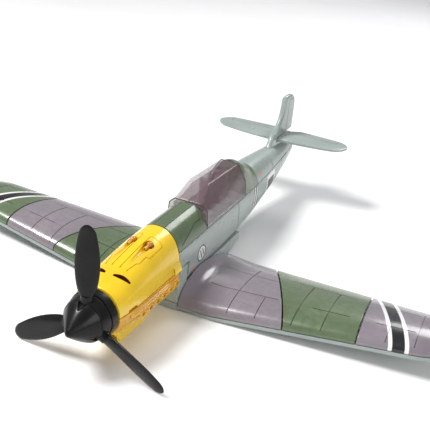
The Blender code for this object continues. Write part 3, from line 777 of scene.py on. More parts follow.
def forward_hood():
    body = hollow_layer("body", COWL_LENGTH, HOOD_END - GAP, DECK + GAP, 60, 60)
    soften(body, 0.24)
    along = (COWL_LENGTH - 1, HOOD_END + 1)
    lines = [box("line", (x, x + GROOVE), along, (31, 60)) for x in (-2.6, 2.3)]
    hull_lines(body, COWL_LENGTH, HOOD_END, lines)
    edge = [(COWL_LENGTH + 3, 27.4), (HOOD_END - 8, 31.0), (HOOD_END - 3, 31.0)]
    back = [(y, z + GROOVE) for y, z in reversed(edge)]
    slants = [prism("slant", edge + back, *across(side, 4.5, 13), "X") for side in SIDES]
    hull_lines(body, COWL_LENGTH, HOOD_END, slants)
    return tubes(body, single_row(COWL_LENGTH + 8, 2), DECK + 2 * GAP, 33.6)


def canopy_ring(station, inset):
    """Angular section of the canopy: flat roof, leaning side panes and upright lower panes."""
    rise = min(1.0, (station - HOOD_END) / 9.0)
    roof = 35.0 + (CANOPY_TOP - 35.0) * rise - 0.03 * max(0, station - 74)
    roof_half = 6.6 - 2.2 * rise
    foot_half = 9.35
    low = DECK + GAP - (3.0 if inset else 0.0)
    points = [(foot_half, low), (foot_half - 0.5, 33.0), (roof_half, roof)]
    points = [(x - inset, z - (inset if z > CANOPY_SHOULDER else 0)) for x, z in points]
    return [(x, station, z) for x, z in points] + [(-x, station, z) for x, z in reversed(points)]


def canopy():
    body = loft("body", [canopy_ring(y, 0) for y in (HOOD_END, HOOD_END + 9, CANOPY_END - GAP)])
    inner = [canopy_ring(y, SKIN_WALL) for y in (HOOD_END + 1.4, HOOD_END + 9.6, CANOPY_END + 2)]
    cut(body, loft("cavity", inner))
    soften(body, 0.6, 3)
    return tubes(body, [(0, y) for y in CANOPY_TUBES], DECK + 2 * GAP, CANOPY_TOP - 1.4)


def frame_bar(start, end, radius=0.24):
    return rod("bar", start, end, radius, 8)


def canopy_frame():
    """Moulded bars along the sills, the windscreen's front arch and the rear arch, dark as painted shade
    along the canopy's edges.
    """
    tucked = 0.12
    lift = 0.3
    bars = []
    arches = []
    for station in (HOOD_END + 0.4, HOOD_END + 9, CANOPY_END - GAP - 0.4):
        arch = []
        for x, y, z in canopy_ring(station, 0):
            if z < DECK + 1:
                z += lift
            elif z >= CANOPY_SHOULDER:
                z -= tucked
            arch.append(Vector((x - math.copysign(tucked, x), y, z)))
        arches.append(arch)
    for arch in (arches[0], arches[-1]):
        bars += [frame_bar(a, b) for a, b in zip(arch, arch[1:])]
    for near, far in zip(arches, arches[1:]):
        bars += [frame_bar(near[k], far[k]) for k in (0, -1)]
    return gather("frame", bars)


def rear_hood():
    """Fairing behind the canopy that comes down to the spine; open where the spine brick passes."""
    def rings(inset, start, end):
        result = []
        for y in stations(start, end, 2):
            t = min(1.0, max(0.0, (y - CANOPY_END) / (REAR_END - CANOPY_END)))
            result.append(hull_ring(y, inset, 1.62 - 0.62 * t * t * (3 - 2 * t)))
        return result
    body = keep(loft("body", rings(0, CANOPY_END, REAR_END - GAP)), slab(DECK + GAP, 80))
    cut(body, loft("cavity", rings(WALL, CANOPY_END + WALL, REAR_END + 1)))
    return soften(body, 0.24)


def spine_shell():
    body = hollow_layer("body", REAR_END, SPINE_END - GAP, DECK + GAP, 60, 60, front=0)
    return soften(body, 0.24)


def fin_outline():
    """Side view of the fin: curved leading edge, round top, straight rudder edge."""
    turns = [math.pi / 2 * k / 8 for k in range(9)]
    lead = [(150 + 6.5 * t, 28.5 + 9.5 * t ** 0.9) for t in (0, 0.33, 0.66)]
    sweep = [(156.5 + 12.5 * math.sin(a), 38 + 17.4 * (1 - math.cos(a)) ** 0.82) for a in turns]
    crown = [(169 + 13.7 * math.sin(a), 55.4 + 1.0 * math.sin(2 * a) - 4.9 * (1 - math.cos(a)))
             for a in turns[1:]]
    return lead + sweep + crown + [(TAIL_END - 0.6, 44), (TAIL_END - 0.6, 27.1)]


def tail_cone_upper():
    body = hull("body", SPINE_END, TAIL_END)
    rings = []
    rounding = ((-1.5, 1.5), (-1.2, 0.7), (-0.6, 0.12), (0, 0.0), (0.6, 0.12), (1.2, 0.7), (1.5, 1.5))
    for x, shrink in rounding:
        ring = []
        for y, z in fin_outline():
            inward = Vector((170 - y, 40 - z)).normalized() * shrink
            ring.append((x, y + inward.x, z + inward.y))
        rings.append(ring)
    join(body, loft("fin", rings))
    keep(body, slab(DECK + GAP, 80))
    cut(body, layer_of_hull("cavity", SPINE_END + WALL, TAIL_END - 14, DECK - 5, 60, WALL))
    cut(body, box("slot", (-8, 8), (160.2, 190), (33.2, 35.8)))
    soften(body, 0.2)
    outline = [(173.2, 36.5), (173.2, 52.4), (173.9, 53.4), (184, 53.4)]
    inner = [(y + GROOVE, z - (GROOVE if z > 50 else 0)) for y, z in outline]
    lines = [prism("rudder", outline + inner[::-1], *across(side, 1.25, 3), "X") for side in SIDES]
    return cut(body, gather("lines", lines))


def tailplane_edges(x):
    """Leading and trailing stations: kinked near the root, then tapered, with round tips."""
    t = abs(x) / TAILPLANE_HALF
    lead = 160.6 + 5.0 * t * t
    trail = 181.0 - 2.0 * t * t - 5.0 * max(0.0, 1 - abs(x) / 7.5)
    round_start = 0.82
    if t > round_start:
        s = (t - round_start) / (1 - round_start)
        squeeze = math.sqrt(max(0.02, 1 - s * s))
        middle = (lead + trail) / 2
        half = (trail - lead) / 2 * squeeze
        lead, trail = middle - half, middle + half
    return lead, trail


def tailplane():
    """One-piece tailplane with a thin symmetrical section and engraved elevators."""
    rings = []
    spans = [TAILPLANE_HALF * math.sin(math.pi / 2 * (k / 22)) for k in range(-22, 23)]
    chords = [0.5 - 0.5 * math.cos(math.pi * k / 10) for k in range(11)]
    for x in spans:
        lead, trail = tailplane_edges(x)
        thin = 0.55 + 0.45 * math.sqrt(max(0.0, 1 - (abs(x) / TAILPLANE_HALF) ** 4))
        upper, lower = [], []
        for c in chords:
            half = (0.22 + 0.78 * math.sin(math.pi * min(1.0, c * 0.9 + 0.08)) ** 0.6) * thin
            upper.append((x, lead + (trail - lead) * c, TAILPLANE_Z + half))
            lower.append((x, lead + (trail - lead) * c, TAILPLANE_Z - half))
        rings.append(upper + lower[::-1])
    body = soften(loft("body", rings), 0.12)
    lines = []
    for side in SIDES:
        for skin in ((34.9, 36), (33, 34.1)):
            lines.append(box("hinge", across(side, 3.0, 30.0), (173.4, 173.4 + GROOVE), skin))
            lines.append(box("end", across(side, 29.7, 30.04), (173.9, 182), skin))
            lines.append(box("tab", across(side, 9.7, 10.0), (178.2, 182), skin))
    strips = gather("lines", lines)
    core_rings = [[(x, y, TAILPLANE_Z + (z - TAILPLANE_Z) * 0.76) for x, y, z in ring] for ring in rings]
    return engrave(body, strips, loft("core", core_rings))


def tail_cone_lower():
    body = layer_of_hull("body", BOOM_LOW_END, TAIL_END, 0, DECK)
    cut(body, box("step", (-20, 20), (BOOM_LOW_END - 5, BOOM_END), (BOOM_SPLIT, 40)))
    return soften(body, 0.24)


# ---------------------------------------------------------------- wings

def leading(x):
    return COWL_LENGTH + 0.10 * max(0.0, x - 10)


def trailing(x):
    return 90.0 - 0.13 * max(0.0, x - 10)


def tip_factor(x):
    t = max(0.0, (x - TIP_START) / (WING_TIP - TIP_START))
    return math.sqrt(1 - 0.85 * t * t)


def edges(x, inset=0.0):
    """Leading and trailing stations of the wing at a span position, with the rounded tip."""
    middle = (leading(x) + trailing(x)) / 2
    half = (trailing(x) - leading(x)) / 2 * tip_factor(x) - inset
    return middle - half, middle + half


def camber(c):
    if c < 0.35:
        return math.sqrt(1 - ((0.35 - c) / 0.35) ** 2)
    return 1 - ((c - 0.35) / 0.65) ** 1.8


def skin_height(x):
    height = ROOT_HEIGHT + (TIP_HEIGHT - ROOT_HEIGHT) * (x - 10) / (WING_TIP - 10)
    fillet = 3.4 * max(0.0, 1 - (x - WING_ROOT) / 6.0) ** 2
    return (height + fillet) * (0.5 + 0.5 * tip_factor(x))


def wing_ring(x, inset, low):
    """Airfoil outline with a flat underside at one span position."""
    front, back = edges(x, inset)
    chords = [(0.35 * (1 - math.cos(math.pi / 2 * k / 9))) for k in range(9)]
    chords += [0.35 + 0.65 * k / 12 for k in range(13)]
    ring = []
    for c in chords:
        top = SKIN_EDGE + (skin_height(x) - SKIN_EDGE) * camber(c) - inset
        ring.append((x, front + (back - front) * c, top))
    return ring + [(x, back, low), (x, front, low)]


def wing_spans():
    root = [WING_ROOT, 11.2, 11.9, 12.7, 13.6, 14.6, 15.7, 17]
    middle = [20.5, 24, 32, 40, 50, 60, 70, 80, 90, 100]
    tip = [100 + 14 * math.sin(math.pi / 2 * k / 9) for k in range(1, 10)]
    return root + middle + tip


def wing_solid(name, inset=0.0, low=PLATE + GAP):
    spans = [min(x, WING_TIP - inset) for x in wing_spans()]
    return loft(name, [wing_ring(x, inset, low) for x in dict.fromkeys(spans)])


def bend_up(body):
    """Shear everything outboard of BEND upwards to give the dihedral."""
    def change(bm):
        geometry = list(bm.verts) + list(bm.edges) + list(bm.faces)
        fold = (BEND * MM, 0, 0)
        bmesh.ops.bisect_plane(bm, geom=geometry, plane_co=fold, plane_no=(1, 0, 0), dist=1e-7)
        for vert in bm.verts:
            vert.co.z += max(0.0, vert.co.x - BEND * MM) * DIHEDRAL
    return edit(body, change)


def to_side(body, side):
    """Keep a port piece as it is, or mirror it to starboard."""
    def mirror(bm):
        for vert in bm.verts:
            vert.co.x = -vert.co.x
        bmesh.ops.reverse_faces(bm, faces=bm.faces)
    return body if side > 0 else edit(body, mirror)


def plate_outline(start, front, back):
    """Plan outline between two edges given as functions of span."""
    spans = [start, 24, 50, 80]
    spans += [100 + (WING_TIP - 100) * math.sin(math.pi / 2 * k / 12) for k in range(13)]
    return [(x, front(x)) for x in spans] + [(x, back(x)) for x in reversed(spans)]


def near_wheel(x, y, reach):
    return math.hypot(x - WHEEL_X, y - WHEEL_Y) < WHEEL_RADIUS + reach


def near_cut(x, y):
    """True where a stud would stand under the walls on either side of a cut between wing skins."""
    for at_30, at_100 in (DIAGONAL, TIP_CUT):
        if abs(x - at_30 - (at_100 - at_30) * (y - 30) / 70) < STUD_RADIUS + SKIN_WALL + 4 * GAP:
            return True
    return False


def engrave_below(body, ribs, rib_y, *lines):
    """Cut span lines and then chord lines into the underside of a wing plate."""
    depth = (-1, 0.22)
    for x, y in lines:
        cut(body, box("line", x, y, depth))
    for x in ribs:
        cut(body, box("rib", (x, x + GROOVE), rib_y, depth))


def front_wing_plate(side):
    split = PLATE_SPLIT - GAP / 2
    outline = plate_outline(GAP / 2, lambda x: edges(x)[0], lambda x: min(split, edges(x)[1]))
    body = prism("body", outline, 0, PLATE)
    join(body, box("root", (GAP / 2, BODY_HALF - 0.1), (COWL_LENGTH, split), (0.2, ROOT_PLATE)))
    cut(body, box("well", (31, 41), (49.5, 60), (-1, 5)))
    soften(body, 0.2)
    engrave_below(body, (48, 64, 80), (48, 63), ((20, 98), (56.0, 56.0 + GROOVE)))
    places = []
    for row in (46.5, 54.5, 62.5):
        for k in range(11):
            x = 16 + PITCH * k
            blocked = near_wheel(x, row, STUD_RADIUS + 2 * GAP) or near_cut(x, row)
            if row - leading(x) > 4 and not blocked:
                places.append((x, row))
    studs(body, [(4, 52), (4, 60)], ROOT_PLATE)
    hollow_studs(body, places, PLATE)
    return to_side(bend_up(body), side)


def rear_wing_plate(side):
    split = PLATE_SPLIT + GAP / 2
    outline = plate_outline(GAP / 2, lambda x: max(split, edges(x)[0]), lambda x: edges(x)[1])
    body = prism("body", outline, 0, PLATE)
    join(body, box("root", (GAP / 2, BODY_HALF - 0.1), (split, 88), (0.2, ROOT_PLATE)))
    soften(body, 0.2)
    engrave_below(body, (56, 98), (75.6, 95), ((16, 98), (75.0, 75.0 + GROOVE)))
    studs(body, [(4, 74), (4, 82)], ROOT_PLATE)
    studs(body, [(16, 70), (24, 70), (16, 78), (24, 78)], PLATE, height=WING_STUD_HEIGHT)
    hollow_studs(body, [(x, 70) for x in range(32, 97, 8) if not near_cut(x, 70)], PLATE)
    return to_side(bend_up(body), side)


def chord_line(x, start=0.0, end=1.0):
    """Thin box across the wing at one span position."""
    front, back = edges(x)
    chord = back - front
    return box("rib", (x, x + GROOVE), (front - 1 + start * chord, front + 1 + end * chord), (4.2, 20))


def span_line(share, start, end):
    """Thin strip along the wing at a constant share of the chord."""
    def at(x):
        front, back = edges(x)
        return front + (back - front) * share
    spans = [start + (end - start) * k / 6 for k in range(7)]
    outline = [(x, at(x)) for x in spans] + [(x, at(x) + GROOVE) for x in reversed(spans)]
    return prism("line", outline, 3.6, 20)


def wing_skin(side, inboard, outboard, tube_places, ribs, spars):
    """Upper wing shell between two slanted cuts, each given as its span at stations 30 and 100."""
    def plan(name, trim, low, high):
        left = [value + trim for value in inboard]
        right = [value - trim for value in outboard]
        return prism(name, [(left[0], 30), (right[0], 30), (right[1], 100), (left[1], 100)], low, high)
    body = keep(wing_solid("body"), plan("cut", 0, -5, 40))
    soften(body, 0.16)
    cut(body, keep(wing_solid("cavity", SKIN_WALL, -2), plan("cut", SKIN_WALL, -6, 41)))
    for x, y in tube_places:
        front, back = edges(x)
        top = SKIN_EDGE + (skin_height(x) - SKIN_EDGE) * camber((y - front) / (back - front))
        tubes(body, [(x, y)], PLATE + 2 * GAP, top - 0.7)
    strips = gather("ribs", [chord_line(*rib) for rib in ribs])
    engrave(body, strips, wing_solid("core", GROOVE_DEPTH))
    strips = gather("spars", [span_line(*spar) for spar in spars])
    engrave(body, strips, wing_solid("core", GROOVE_DEPTH))
    return to_side(bend_up(body), side)


def inner_wing_skin(side):
    ribs = [(30.0, 0.0, 0.78), (41.0, 0.0, 0.24)]
    spars = [(0.27, 18, 46), (0.62, 18, 44)]
    return wing_skin(side, (WING_ROOT, WING_ROOT), DIAGONAL, [(20, 50.5), (20, 58.5)], ribs, spars)


def middle_wing_skin(side):
    inboard = [value + 2 * GAP for value in DIAGONAL]
    ribs = [(55.0, 0.0, 0.70), (66.0, 0.0, 0.70)]
    spars = [(0.27, 60, 74), (0.74, 46, 73)]
    return wing_skin(side, inboard, TIP_CUT, [(52, 58.5), (60, 58.5), (68, 58.5)], ribs, spars)


def tip_wing_skin(side):
    inboard = [value + 2 * GAP for value in TIP_CUT]
    ribs = [(89.0, 0.0, 0.72), (99.0, 0.0, 1.0)]
    spars = [(0.27, 84, 98), (0.74, 82, 98)]
    return wing_skin(side, inboard, (120, 120), [(84, 58.5), (92, 58.5)], ribs, spars)


def wheel(side):
    """Retracted wheel: grooved tyre, dished disc and hub."""
    low, high = PLATE + GAP, PLATE + GAP + WHEEL_THICKNESS
    r = WHEEL_RADIUS
    tyre = [(low, 0), (low, r - 0.7), (low + 0.25, r - 0.2), (low + 0.6, r), (high - 0.6, r),
            (high - 0.25, r - 0.2), (high, r - 0.7), (high, r - 1.0), (high - 0.25, r - 1.15),
            (high - 0.25, r - 1.35), (high, r - 1.5)]
    disc_and_hub = [(high, 5.7), (high - 0.15, 5.45), (high - 0.75, 5.2), (high - 0.75, 2.6),
                    (high - 0.2, 2.2), (high, 1.9), (high, 1.2), (high - 0.4, 1.0), (high - 0.4, 0)]
    body = turned("body", tyre + disc_and_hub, (WHEEL_X, WHEEL_Y, 0), "Z", 64)
    middle = Vector((WHEEL_X, WHEEL_Y, high - 0.62))
    spokes = []
    for k in range(5):
        turn = 2 * math.pi * k / 5
        out = Vector((math.cos(turn), math.sin(turn), 0))
        spokes.append(rod("spoke", middle + out * 2.3, middle + out * 5.3, 0.42, 12, 0.3))
    join(body, *spokes)
    return to_side(bend_up(body), side)


# ---------------------------------------------------------------- materials

class Nodes:
    """Short way to build a material's node tree; coordinates are the plane's own millimetres."""

    def __init__(self, name):
        self.material = bpy.data.materials.new(name)
        self.material.use_nodes = True
        self.tree = self.material.node_tree
        self.shader = self.tree.nodes["Principled BSDF"]
        self.place = self.add("ShaderNodeTexCoord").outputs["Object"]
        split = self.add("ShaderNodeSeparateXYZ")
        self.link(self.place, split.inputs[0])
        self.x = self.math("MULTIPLY", split.outputs[0], 1 / MM)
        self.y = self.math("MULTIPLY_ADD", split.outputs[1], 1 / MM, MIDDLE)
        self.z = self.math("MULTIPLY", split.outputs[2], 1 / MM)
        self.side = self.math("ABSOLUTE", self.x)

    def add(self, kind, **settings):
        node = self.tree.nodes.new(kind)
        for key, value in settings.items():
            setattr(node, key, value)
        return node

    def link(self, source, target):
        self.tree.links.new(source, target)

    def math(self, operation, *values):
        node = self.add("ShaderNodeMath", operation=operation)
        for slot, value in zip(node.inputs, values):
            if isinstance(value, (int, float)):
                slot.default_value = value
            else:
                self.link(value, slot)
        return node.outputs[0]

    def step(self, value, edge, soft=0.12):
        """0 below the edge and 1 above it, with a narrow ramp."""
        node = self.add("ShaderNodeMapRange", interpolation_type="SMOOTHSTEP")
        self.link(value, node.inputs["Value"])
        node.inputs["From Min"].default_value = edge - soft / 2
        node.inputs["From Max"].default_value = edge + soft / 2
        return node.outputs[0]

    def between(self, value, low, high):
        return self.math("SUBTRACT", self.step(value, low), self.step(value, high))

    def both(self, *masks):
        result = masks[0]
        for mask in masks[1:]:
            result = self.math("MULTIPLY", result, mask)
        return result

    def reach(self, a, b):
        """Distance from the place where both are 0."""
        squares = self.math("ADD", self.math("MULTIPLY", a, a), self.math("MULTIPLY", b, b))
        return self.math("SQRT", squares)

    def bump(self, height, strength, distance, *below):
        node = self.add("ShaderNodeBump")
        node.inputs["Strength"].default_value = strength
        node.inputs["Distance"].default_value = distance
        self.link(height, node.inputs["Height"])
        for normal in below:
            self.link(normal, node.inputs["Normal"])
        return node.outputs[0]

    def noise(self, scale, detail=3.0, roughness=0.55):
        node = self.add("ShaderNodeTexNoise")
        self.link(self.place, node.inputs["Vector"])
        node.inputs["Scale"].default_value = scale
        node.inputs["Detail"].default_value = detail
        node.inputs["Roughness"].default_value = roughness
        return node.outputs["Fac"]

    def ramp(self, value, low, high, out_low, out_high):
        node = self.add("ShaderNodeMapRange")
        self.link(value, node.inputs["Value"])
        keys = ("From Min", "From Max", "To Min", "To Max")
        for key, number in zip(keys, (low, high, out_low, out_high)):
            node.inputs[key].default_value = number
        return node.outputs[0]

    def mix(self, mask, below, above):
        node = self.add("ShaderNodeMix", data_type="RGBA")
        self.link(mask, node.inputs[0])
        for slot, value in ((node.inputs[6], below), (node.inputs[7], above)):
            if isinstance(value, tuple):
                slot.default_value = (*value, 1)
            else:
                self.link(value, slot)
        return node.outputs[2]


def tint(colour, factor, lift=0.0):
    return tuple(min(1.0, value * factor + lift) for value in colour)


def moulded(name, colour, roughness=0.30, coat=0.25, marks=(), mottle=0.06, edge=0.5,
            alpha=1.0, gloss=0.5):
    """Moulded plastic: uneven pigment, flow marks, fine grain, scuffed edges with a painted highlight,
    painted shade in hollows, printed marks and painted shade marks.
    """
    nodes = Nodes(name)
    shader = nodes.shader
    cloud = nodes.ramp(nodes.noise(70, 4.0), 0.32, 0.68, 0, 1)
    shown = nodes.mix(cloud, tint(colour, 1 - 1.4 * mottle), tint(colour, 1 + mottle, 0.004))
    specks = nodes.ramp(nodes.noise(1900, 1.0), 0.66, 0.74, 0, 0.22)
    shown = nodes.mix(specks, shown, tint(colour, 0.72))
    pointed = nodes.add("ShaderNodeNewGeometry").outputs["Pointiness"]
    patches = nodes.ramp(nodes.noise(420), 0.4, 0.6, 0.3, 1)
    # convex edges lightened in random patches: partly scuffing, partly a painted highlight where edges
    # catch the light
    scuff_and_highlight = nodes.math("MULTIPLY", nodes.ramp(pointed, 0.515, 0.60, 0, edge), patches)
    shown = nodes.mix(scuff_and_highlight, shown, tint(colour, 1.25, 0.05))
    # painted shade: hollows and creases (low pointiness) darkened
    shown = nodes.mix(nodes.ramp(pointed, 0.485, 0.42, 0, 0.55), shown, tint(colour, 0.45))
    for mask_of, paint in marks:
        shown = nodes.mix(mask_of(nodes), shown, paint)
    nodes.link(shown, shader.inputs["Base Color"])
    finish = nodes.ramp(nodes.noise(240, 5.0), 0.3, 0.7, roughness - 0.05, roughness + 0.08)
    nodes.link(finish, shader.inputs["Roughness"])
    grain = nodes.bump(nodes.noise(3200, 2.0), 0.10, 0.00005)
    flow = nodes.bump(nodes.noise(95, 2.0), 0.16, 0.0004, grain)
    nodes.link(flow, shader.inputs["Normal"])
    settings = {"Metallic": 0.0, "IOR": 1.5, "Specular IOR Level": gloss, "Coat Weight": coat,
                "Coat Roughness": 0.12, "Alpha": alpha}
    for key, value in settings.items():
        shader.inputs[key].default_value = value
    return nodes.material


# Generic printed marks and painted shade marks. Each takes the node builder and gives a mask.

def disc(nodes, along, up, station, height, radius):
    """Round mark about a point, counted along two coordinates."""
    reach = nodes.reach(nodes.math("SUBTRACT", along, station), nodes.math("SUBTRACT", up, height))
    return nodes.math("SUBTRACT", 1.0, nodes.step(reach, radius))


def badge(radius):
    """Round badge on the side of the fuselage."""
    def mask(nodes):
        return nodes.both(disc(nodes, nodes.y, nodes.z, *BADGE, radius), nodes.step(nodes.side, 7.4))
    return mask


def badge_bars(nodes):
    slant = nodes.math("ADD", nodes.y, nodes.math("MULTIPLY", nodes.z, 0.4))
    wave = nodes.math("PINGPONG", slant, 1.0)
    return nodes.both(disc(nodes, nodes.y, nodes.z, *BADGE, 2.2), nodes.step(wave, 0.62),
                      nodes.step(nodes.side, 7.4))


def orange_dot(station, height, radius):
    """Small round mark on the side of the fuselage."""
    def mask(nodes):
        dot = disc(nodes, nodes.y, nodes.z, station, height, radius)
        return nodes.both(dot, nodes.step(nodes.side, 4.5))
    return mask


def slanted(start, width, lean, low, high):
    """Slanted band round the fuselage between two heights."""
    def mask(nodes):
        place = nodes.math("ADD", nodes.y, nodes.math("MULTIPLY", nodes.z, lean))
        return nodes.both(nodes.between(place, start, start + width), nodes.between(nodes.z, low, high),
                          nodes.step(nodes.side, 4.0))
    return mask


def wing_band(start, width, low=-5.0):
    """Slanted band across a wing skin."""
    def mask(nodes):
        place = nodes.math("ADD", nodes.side, nodes.math("MULTIPLY", nodes.y, 0.35))
        return nodes.both(nodes.between(place, start, start + width), nodes.step(nodes.z, low))
    return mask


def cowl_slit_shade(nodes):
    """Painted shade inside the two curved air slits on top of the cowl."""
    t = nodes.math("MULTIPLY", nodes.math("SUBTRACT", nodes.side, SLIT_X), 1 / SLIT_SPAN)
    front = nodes.math("MULTIPLY_ADD", nodes.math("MULTIPLY", t, t), SLIT_SWEEP, SLIT_Y)
    bow = nodes.math("SINE", nodes.math("MULTIPLY", t, math.pi))
    width = nodes.math("MULTIPLY_ADD", bow, SLIT_BULGE, SLIT_WIDTH)
    into = nodes.math("SUBTRACT", nodes.y, front)
    past = nodes.math("SUBTRACT", into, width)
    inside = nodes.math("SUBTRACT", nodes.step(into, -MASK_MARGIN), nodes.step(past, MASK_MARGIN))
    along = nodes.between(nodes.side, 1.57, 7.43)
    return nodes.both(inside, along, nodes.step(nodes.z, 19.6))


# Painted shade over each muzzle and its round recess.
def muzzle_recess_shade(nodes):
    return nodes.both(disc(nodes, nodes.side, nodes.y, GUN_X, 27.2, 1.9), nodes.step(nodes.z, 24))


def trough_painted_shade(nodes):
    """Painted shade in a wedge that widens aft along each gun trough."""
    off = nodes.math("ABSOLUTE", nodes.math("SUBTRACT", nodes.side, GUN_X))
    reach = nodes.math("ADD", off, nodes.math("MULTIPLY", nodes.math("SUBTRACT", nodes.y, 14.0), -0.085))
    wedge = nodes.math("SUBTRACT", 1.0, nodes.step(reach, 0.0, 0.6))
    return nodes.both(wedge, nodes.between(nodes.y, 13.0, 26.6), nodes.step(nodes.z, 24))


def canopy_tube_rim_shade(nodes):
    """Painted shade on the canopy's roof over the rims of the three clutch tubes, standing in for the dark
    rims seen through it.
    """
    first, last = CANOPY_TUBES[0], CANOPY_TUBES[-1]
    wave = nodes.math("PINGPONG", nodes.math("SUBTRACT", nodes.y, first), PITCH / 2)
    return nodes.both(nodes.between(nodes.reach(nodes.x, wave), 2.6, 3.25),
                      nodes.between(nodes.y, first - 4, last + 4),
                      nodes.step(nodes.z, CANOPY_TOP - 2.0))


BLACK_PAINT = (0.010, 0.010, 0.011)
WHITE_PAINT = (0.78, 0.76, 0.76)
ORANGE_PAINT = (0.78, 0.16, 0.03)

GREY = (0.300, 0.352, 0.330)
PLATE_GREY = (0.29, 0.335, 0.315)
BLACK = (0.0045, 0.0038, 0.0042)
SMOKE = (0.23, 0.145, 0.165)
# darker copy of the canopy tint: painted shade along the canopy's edges
EDGE_SHADE_SMOKE = (0.055, 0.035, 0.048)
RED = (0.60, 0.018, 0.012)
VIOLET = (0.200, 0.172, 0.196)
GREEN = (0.088, 0.128, 0.062)
YELLOW = (0.84, 0.545, 0.005)
# darker, more orange copy of the yellow: painted shade on the side-facing exhaust cowl
SHADED_YELLOW = (0.72, 0.36, 0.006)
# painted shade of the muzzle recesses
RECESS_SHADE_AMBER = (0.52, 0.21, 0.006)
# painted shade of the gun troughs
TROUGH_SHADE_AMBER = (0.66, 0.35, 0.005)
# painted shade over the clutch tube rims under the canopy's roof
RIM_SHADE_VIOLET = (0.016, 0.006, 0.010)
# painted shade inside the air slits
SLIT_SHADE_BROWN = (0.11, 0.022, 0.004)

brick_marks = (
    (badge(3.7), BLACK_PAINT),
    (badge(3.0), WHITE_PAINT),
    (badge_bars, BLACK_PAINT),
    (orange_dot(51.8, 14.4, 1.0), ORANGE_PAINT),
)
rear_marks = (
    (slanted(108.5, 6.4, -0.25, 10, 25.2), BLACK_PAINT),
    (slanted(109.6, 4.2, -0.25, 10, 25.2), WHITE_PAINT),
    (slanted(110.9, 1.6, -0.25, 10, 25.2), BLACK_PAINT),
)
boom_marks = (
    (slanted(134.0, 13.0, 0.0, 15.5, 24.6), WHITE_PAINT),
    (slanted(135.4, 10.2, 0.0, 15.5, 22.4), BLACK_PAINT),
)
spine_marks = ((orange_dot(125.5, 28.6, 0.9), ORANGE_PAINT),)
tip_marks = (
    (wing_band(107.5, 7.5), WHITE_PAINT),
    (wing_band(109.0, 4.5), BLACK_PAINT),
)

canopy_shade_marks = ((canopy_tube_rim_shade, RIM_SHADE_VIOLET),)
# painted shade in the gun troughs, muzzle recesses and air slits
cowl_shade_marks = (
    (trough_painted_shade, TROUGH_SHADE_AMBER),
    (muzzle_recess_shade, RECESS_SHADE_AMBER),
    (cowl_slit_shade, SLIT_SHADE_BROWN),
)

plastics = {
    "grey": moulded("grey_moulding", GREY),
    "brick": moulded("grey_brick_moulding", GREY, marks=brick_marks),
    "rear": moulded("grey_rear_moulding", GREY, marks=rear_marks),
    "boom": moulded("grey_boom_moulding", GREY, marks=boom_marks),
    "spine": moulded("grey_spine_moulding", GREY, marks=spine_marks),
    "plate": moulded("grey_plate_moulding", PLATE_GREY, 0.34),
    "violet": moulded("violet_grey_moulding", VIOLET, 0.20, 0.5),
    "violet_tip": moulded("violet_grey_tip_moulding", VIOLET, 0.20, 0.5, marks=tip_marks),
    "green": moulded("green_moulding", GREEN, 0.24, 0.4),
    "green_tip": moulded("green_tip_moulding", GREEN, 0.24, 0.4, marks=tip_marks),
    "yellow": moulded("yellow_moulding", YELLOW, 0.22, 0.5, mottle=0.05),
    "upper_yellow": moulded("upper_yellow_moulding", YELLOW, 0.22, 0.5, mottle=0.05, marks=cowl_shade_marks),
    # exhaust cowl: yellow darkened as painted shade
    "shaded_yellow": moulded("shaded_yellow_moulding", SHADED_YELLOW, 0.28, 0.35, mottle=0.06),
    "black": moulded("black_moulding", BLACK, 0.24, 0.0, mottle=0.2, edge=0.12, gloss=0.22),
    "clear": moulded("tinted_clear_moulding", SMOKE, 0.07, 0.8, canopy_shade_marks, 0.05, 0.1, 0.38),
    "frame": moulded("canopy_frame_moulding", EDGE_SHADE_SMOKE, 0.2, 0.4, mottle=0.1, alpha=0.92),
    "red": moulded("red_moulding", RED, 0.26, 0.3),
}


# ---------------------------------------------------------------- assembly

def place_piece(body, node, carrier, plastic_name, replaced=True):
    """Name, paint, clean and shade a finished piece and give it to its body."""
    body.name = node + ("_moulding" if replaced else "")
    body.data.name = body.name
    body.data.materials.clear()
    body.data.materials.append(plastics[plastic_name])
    for face in body.data.polygons:
        face.material_index = 0
    shade(clean(body, last=True))
    if replaced:
        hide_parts(node)
    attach(body, carrier)


single = (
    (main_fuselage_brick, "airframe", "grey_plastic", "brick"),
    (wing_root_brick, "airframe", "grey_plastic", "grey"),
    (rear_fuselage_brick, "airframe", "grey_plastic", "rear"),
    (boom_upper_brick, "airframe", "grey_plastic", "boom"),
    (boom_lower_brick, "airframe", "grey_plastic", "boom"),
    (spine_brick, "airframe", "grey_plastic", "grey"),
    (exhaust_cowl, "airframe", "yellow_plastic", "shaded_yellow"),
    (upper_cowl, "upper_cowl", "yellow_plastic", "upper_yellow"),
    (lower_cowl, "lower_cowl", "yellow_plastic", "yellow"),
    (forward_hood, "forward_hood", "green_plastic", "green"),
    (canopy, "canopy", "tinted_clear_plastic", "clear"),
    (rear_hood, "rear_hood", "green_plastic", "green"),
    (spine_shell, "spine_shell", "grey_plastic", "spine"),
    (belly_fairing, "belly_fairing", "grey_plastic", "grey"),
    (tail_cone_upper, "tail_unit", "grey_plastic", "grey"),
    (tailplane, "tail_unit", "grey_plastic", "grey"),
    (tail_cone_lower, "tail_cone_lower", "grey_plastic", "grey"),
    (spinner_cone, "propeller_group", "black_plastic", "black"),
    (propeller, "propeller_group", "black_plastic", "black"),
    (spinner_backplate, "propeller_group", "black_plastic", "black"),
    (propeller_shaft, "propeller_group", "red_plastic", "red"),
)
for make, carrier, slot, plastic_name in single:
    place_piece(make(), make.__name__, carrier, plastic_name)

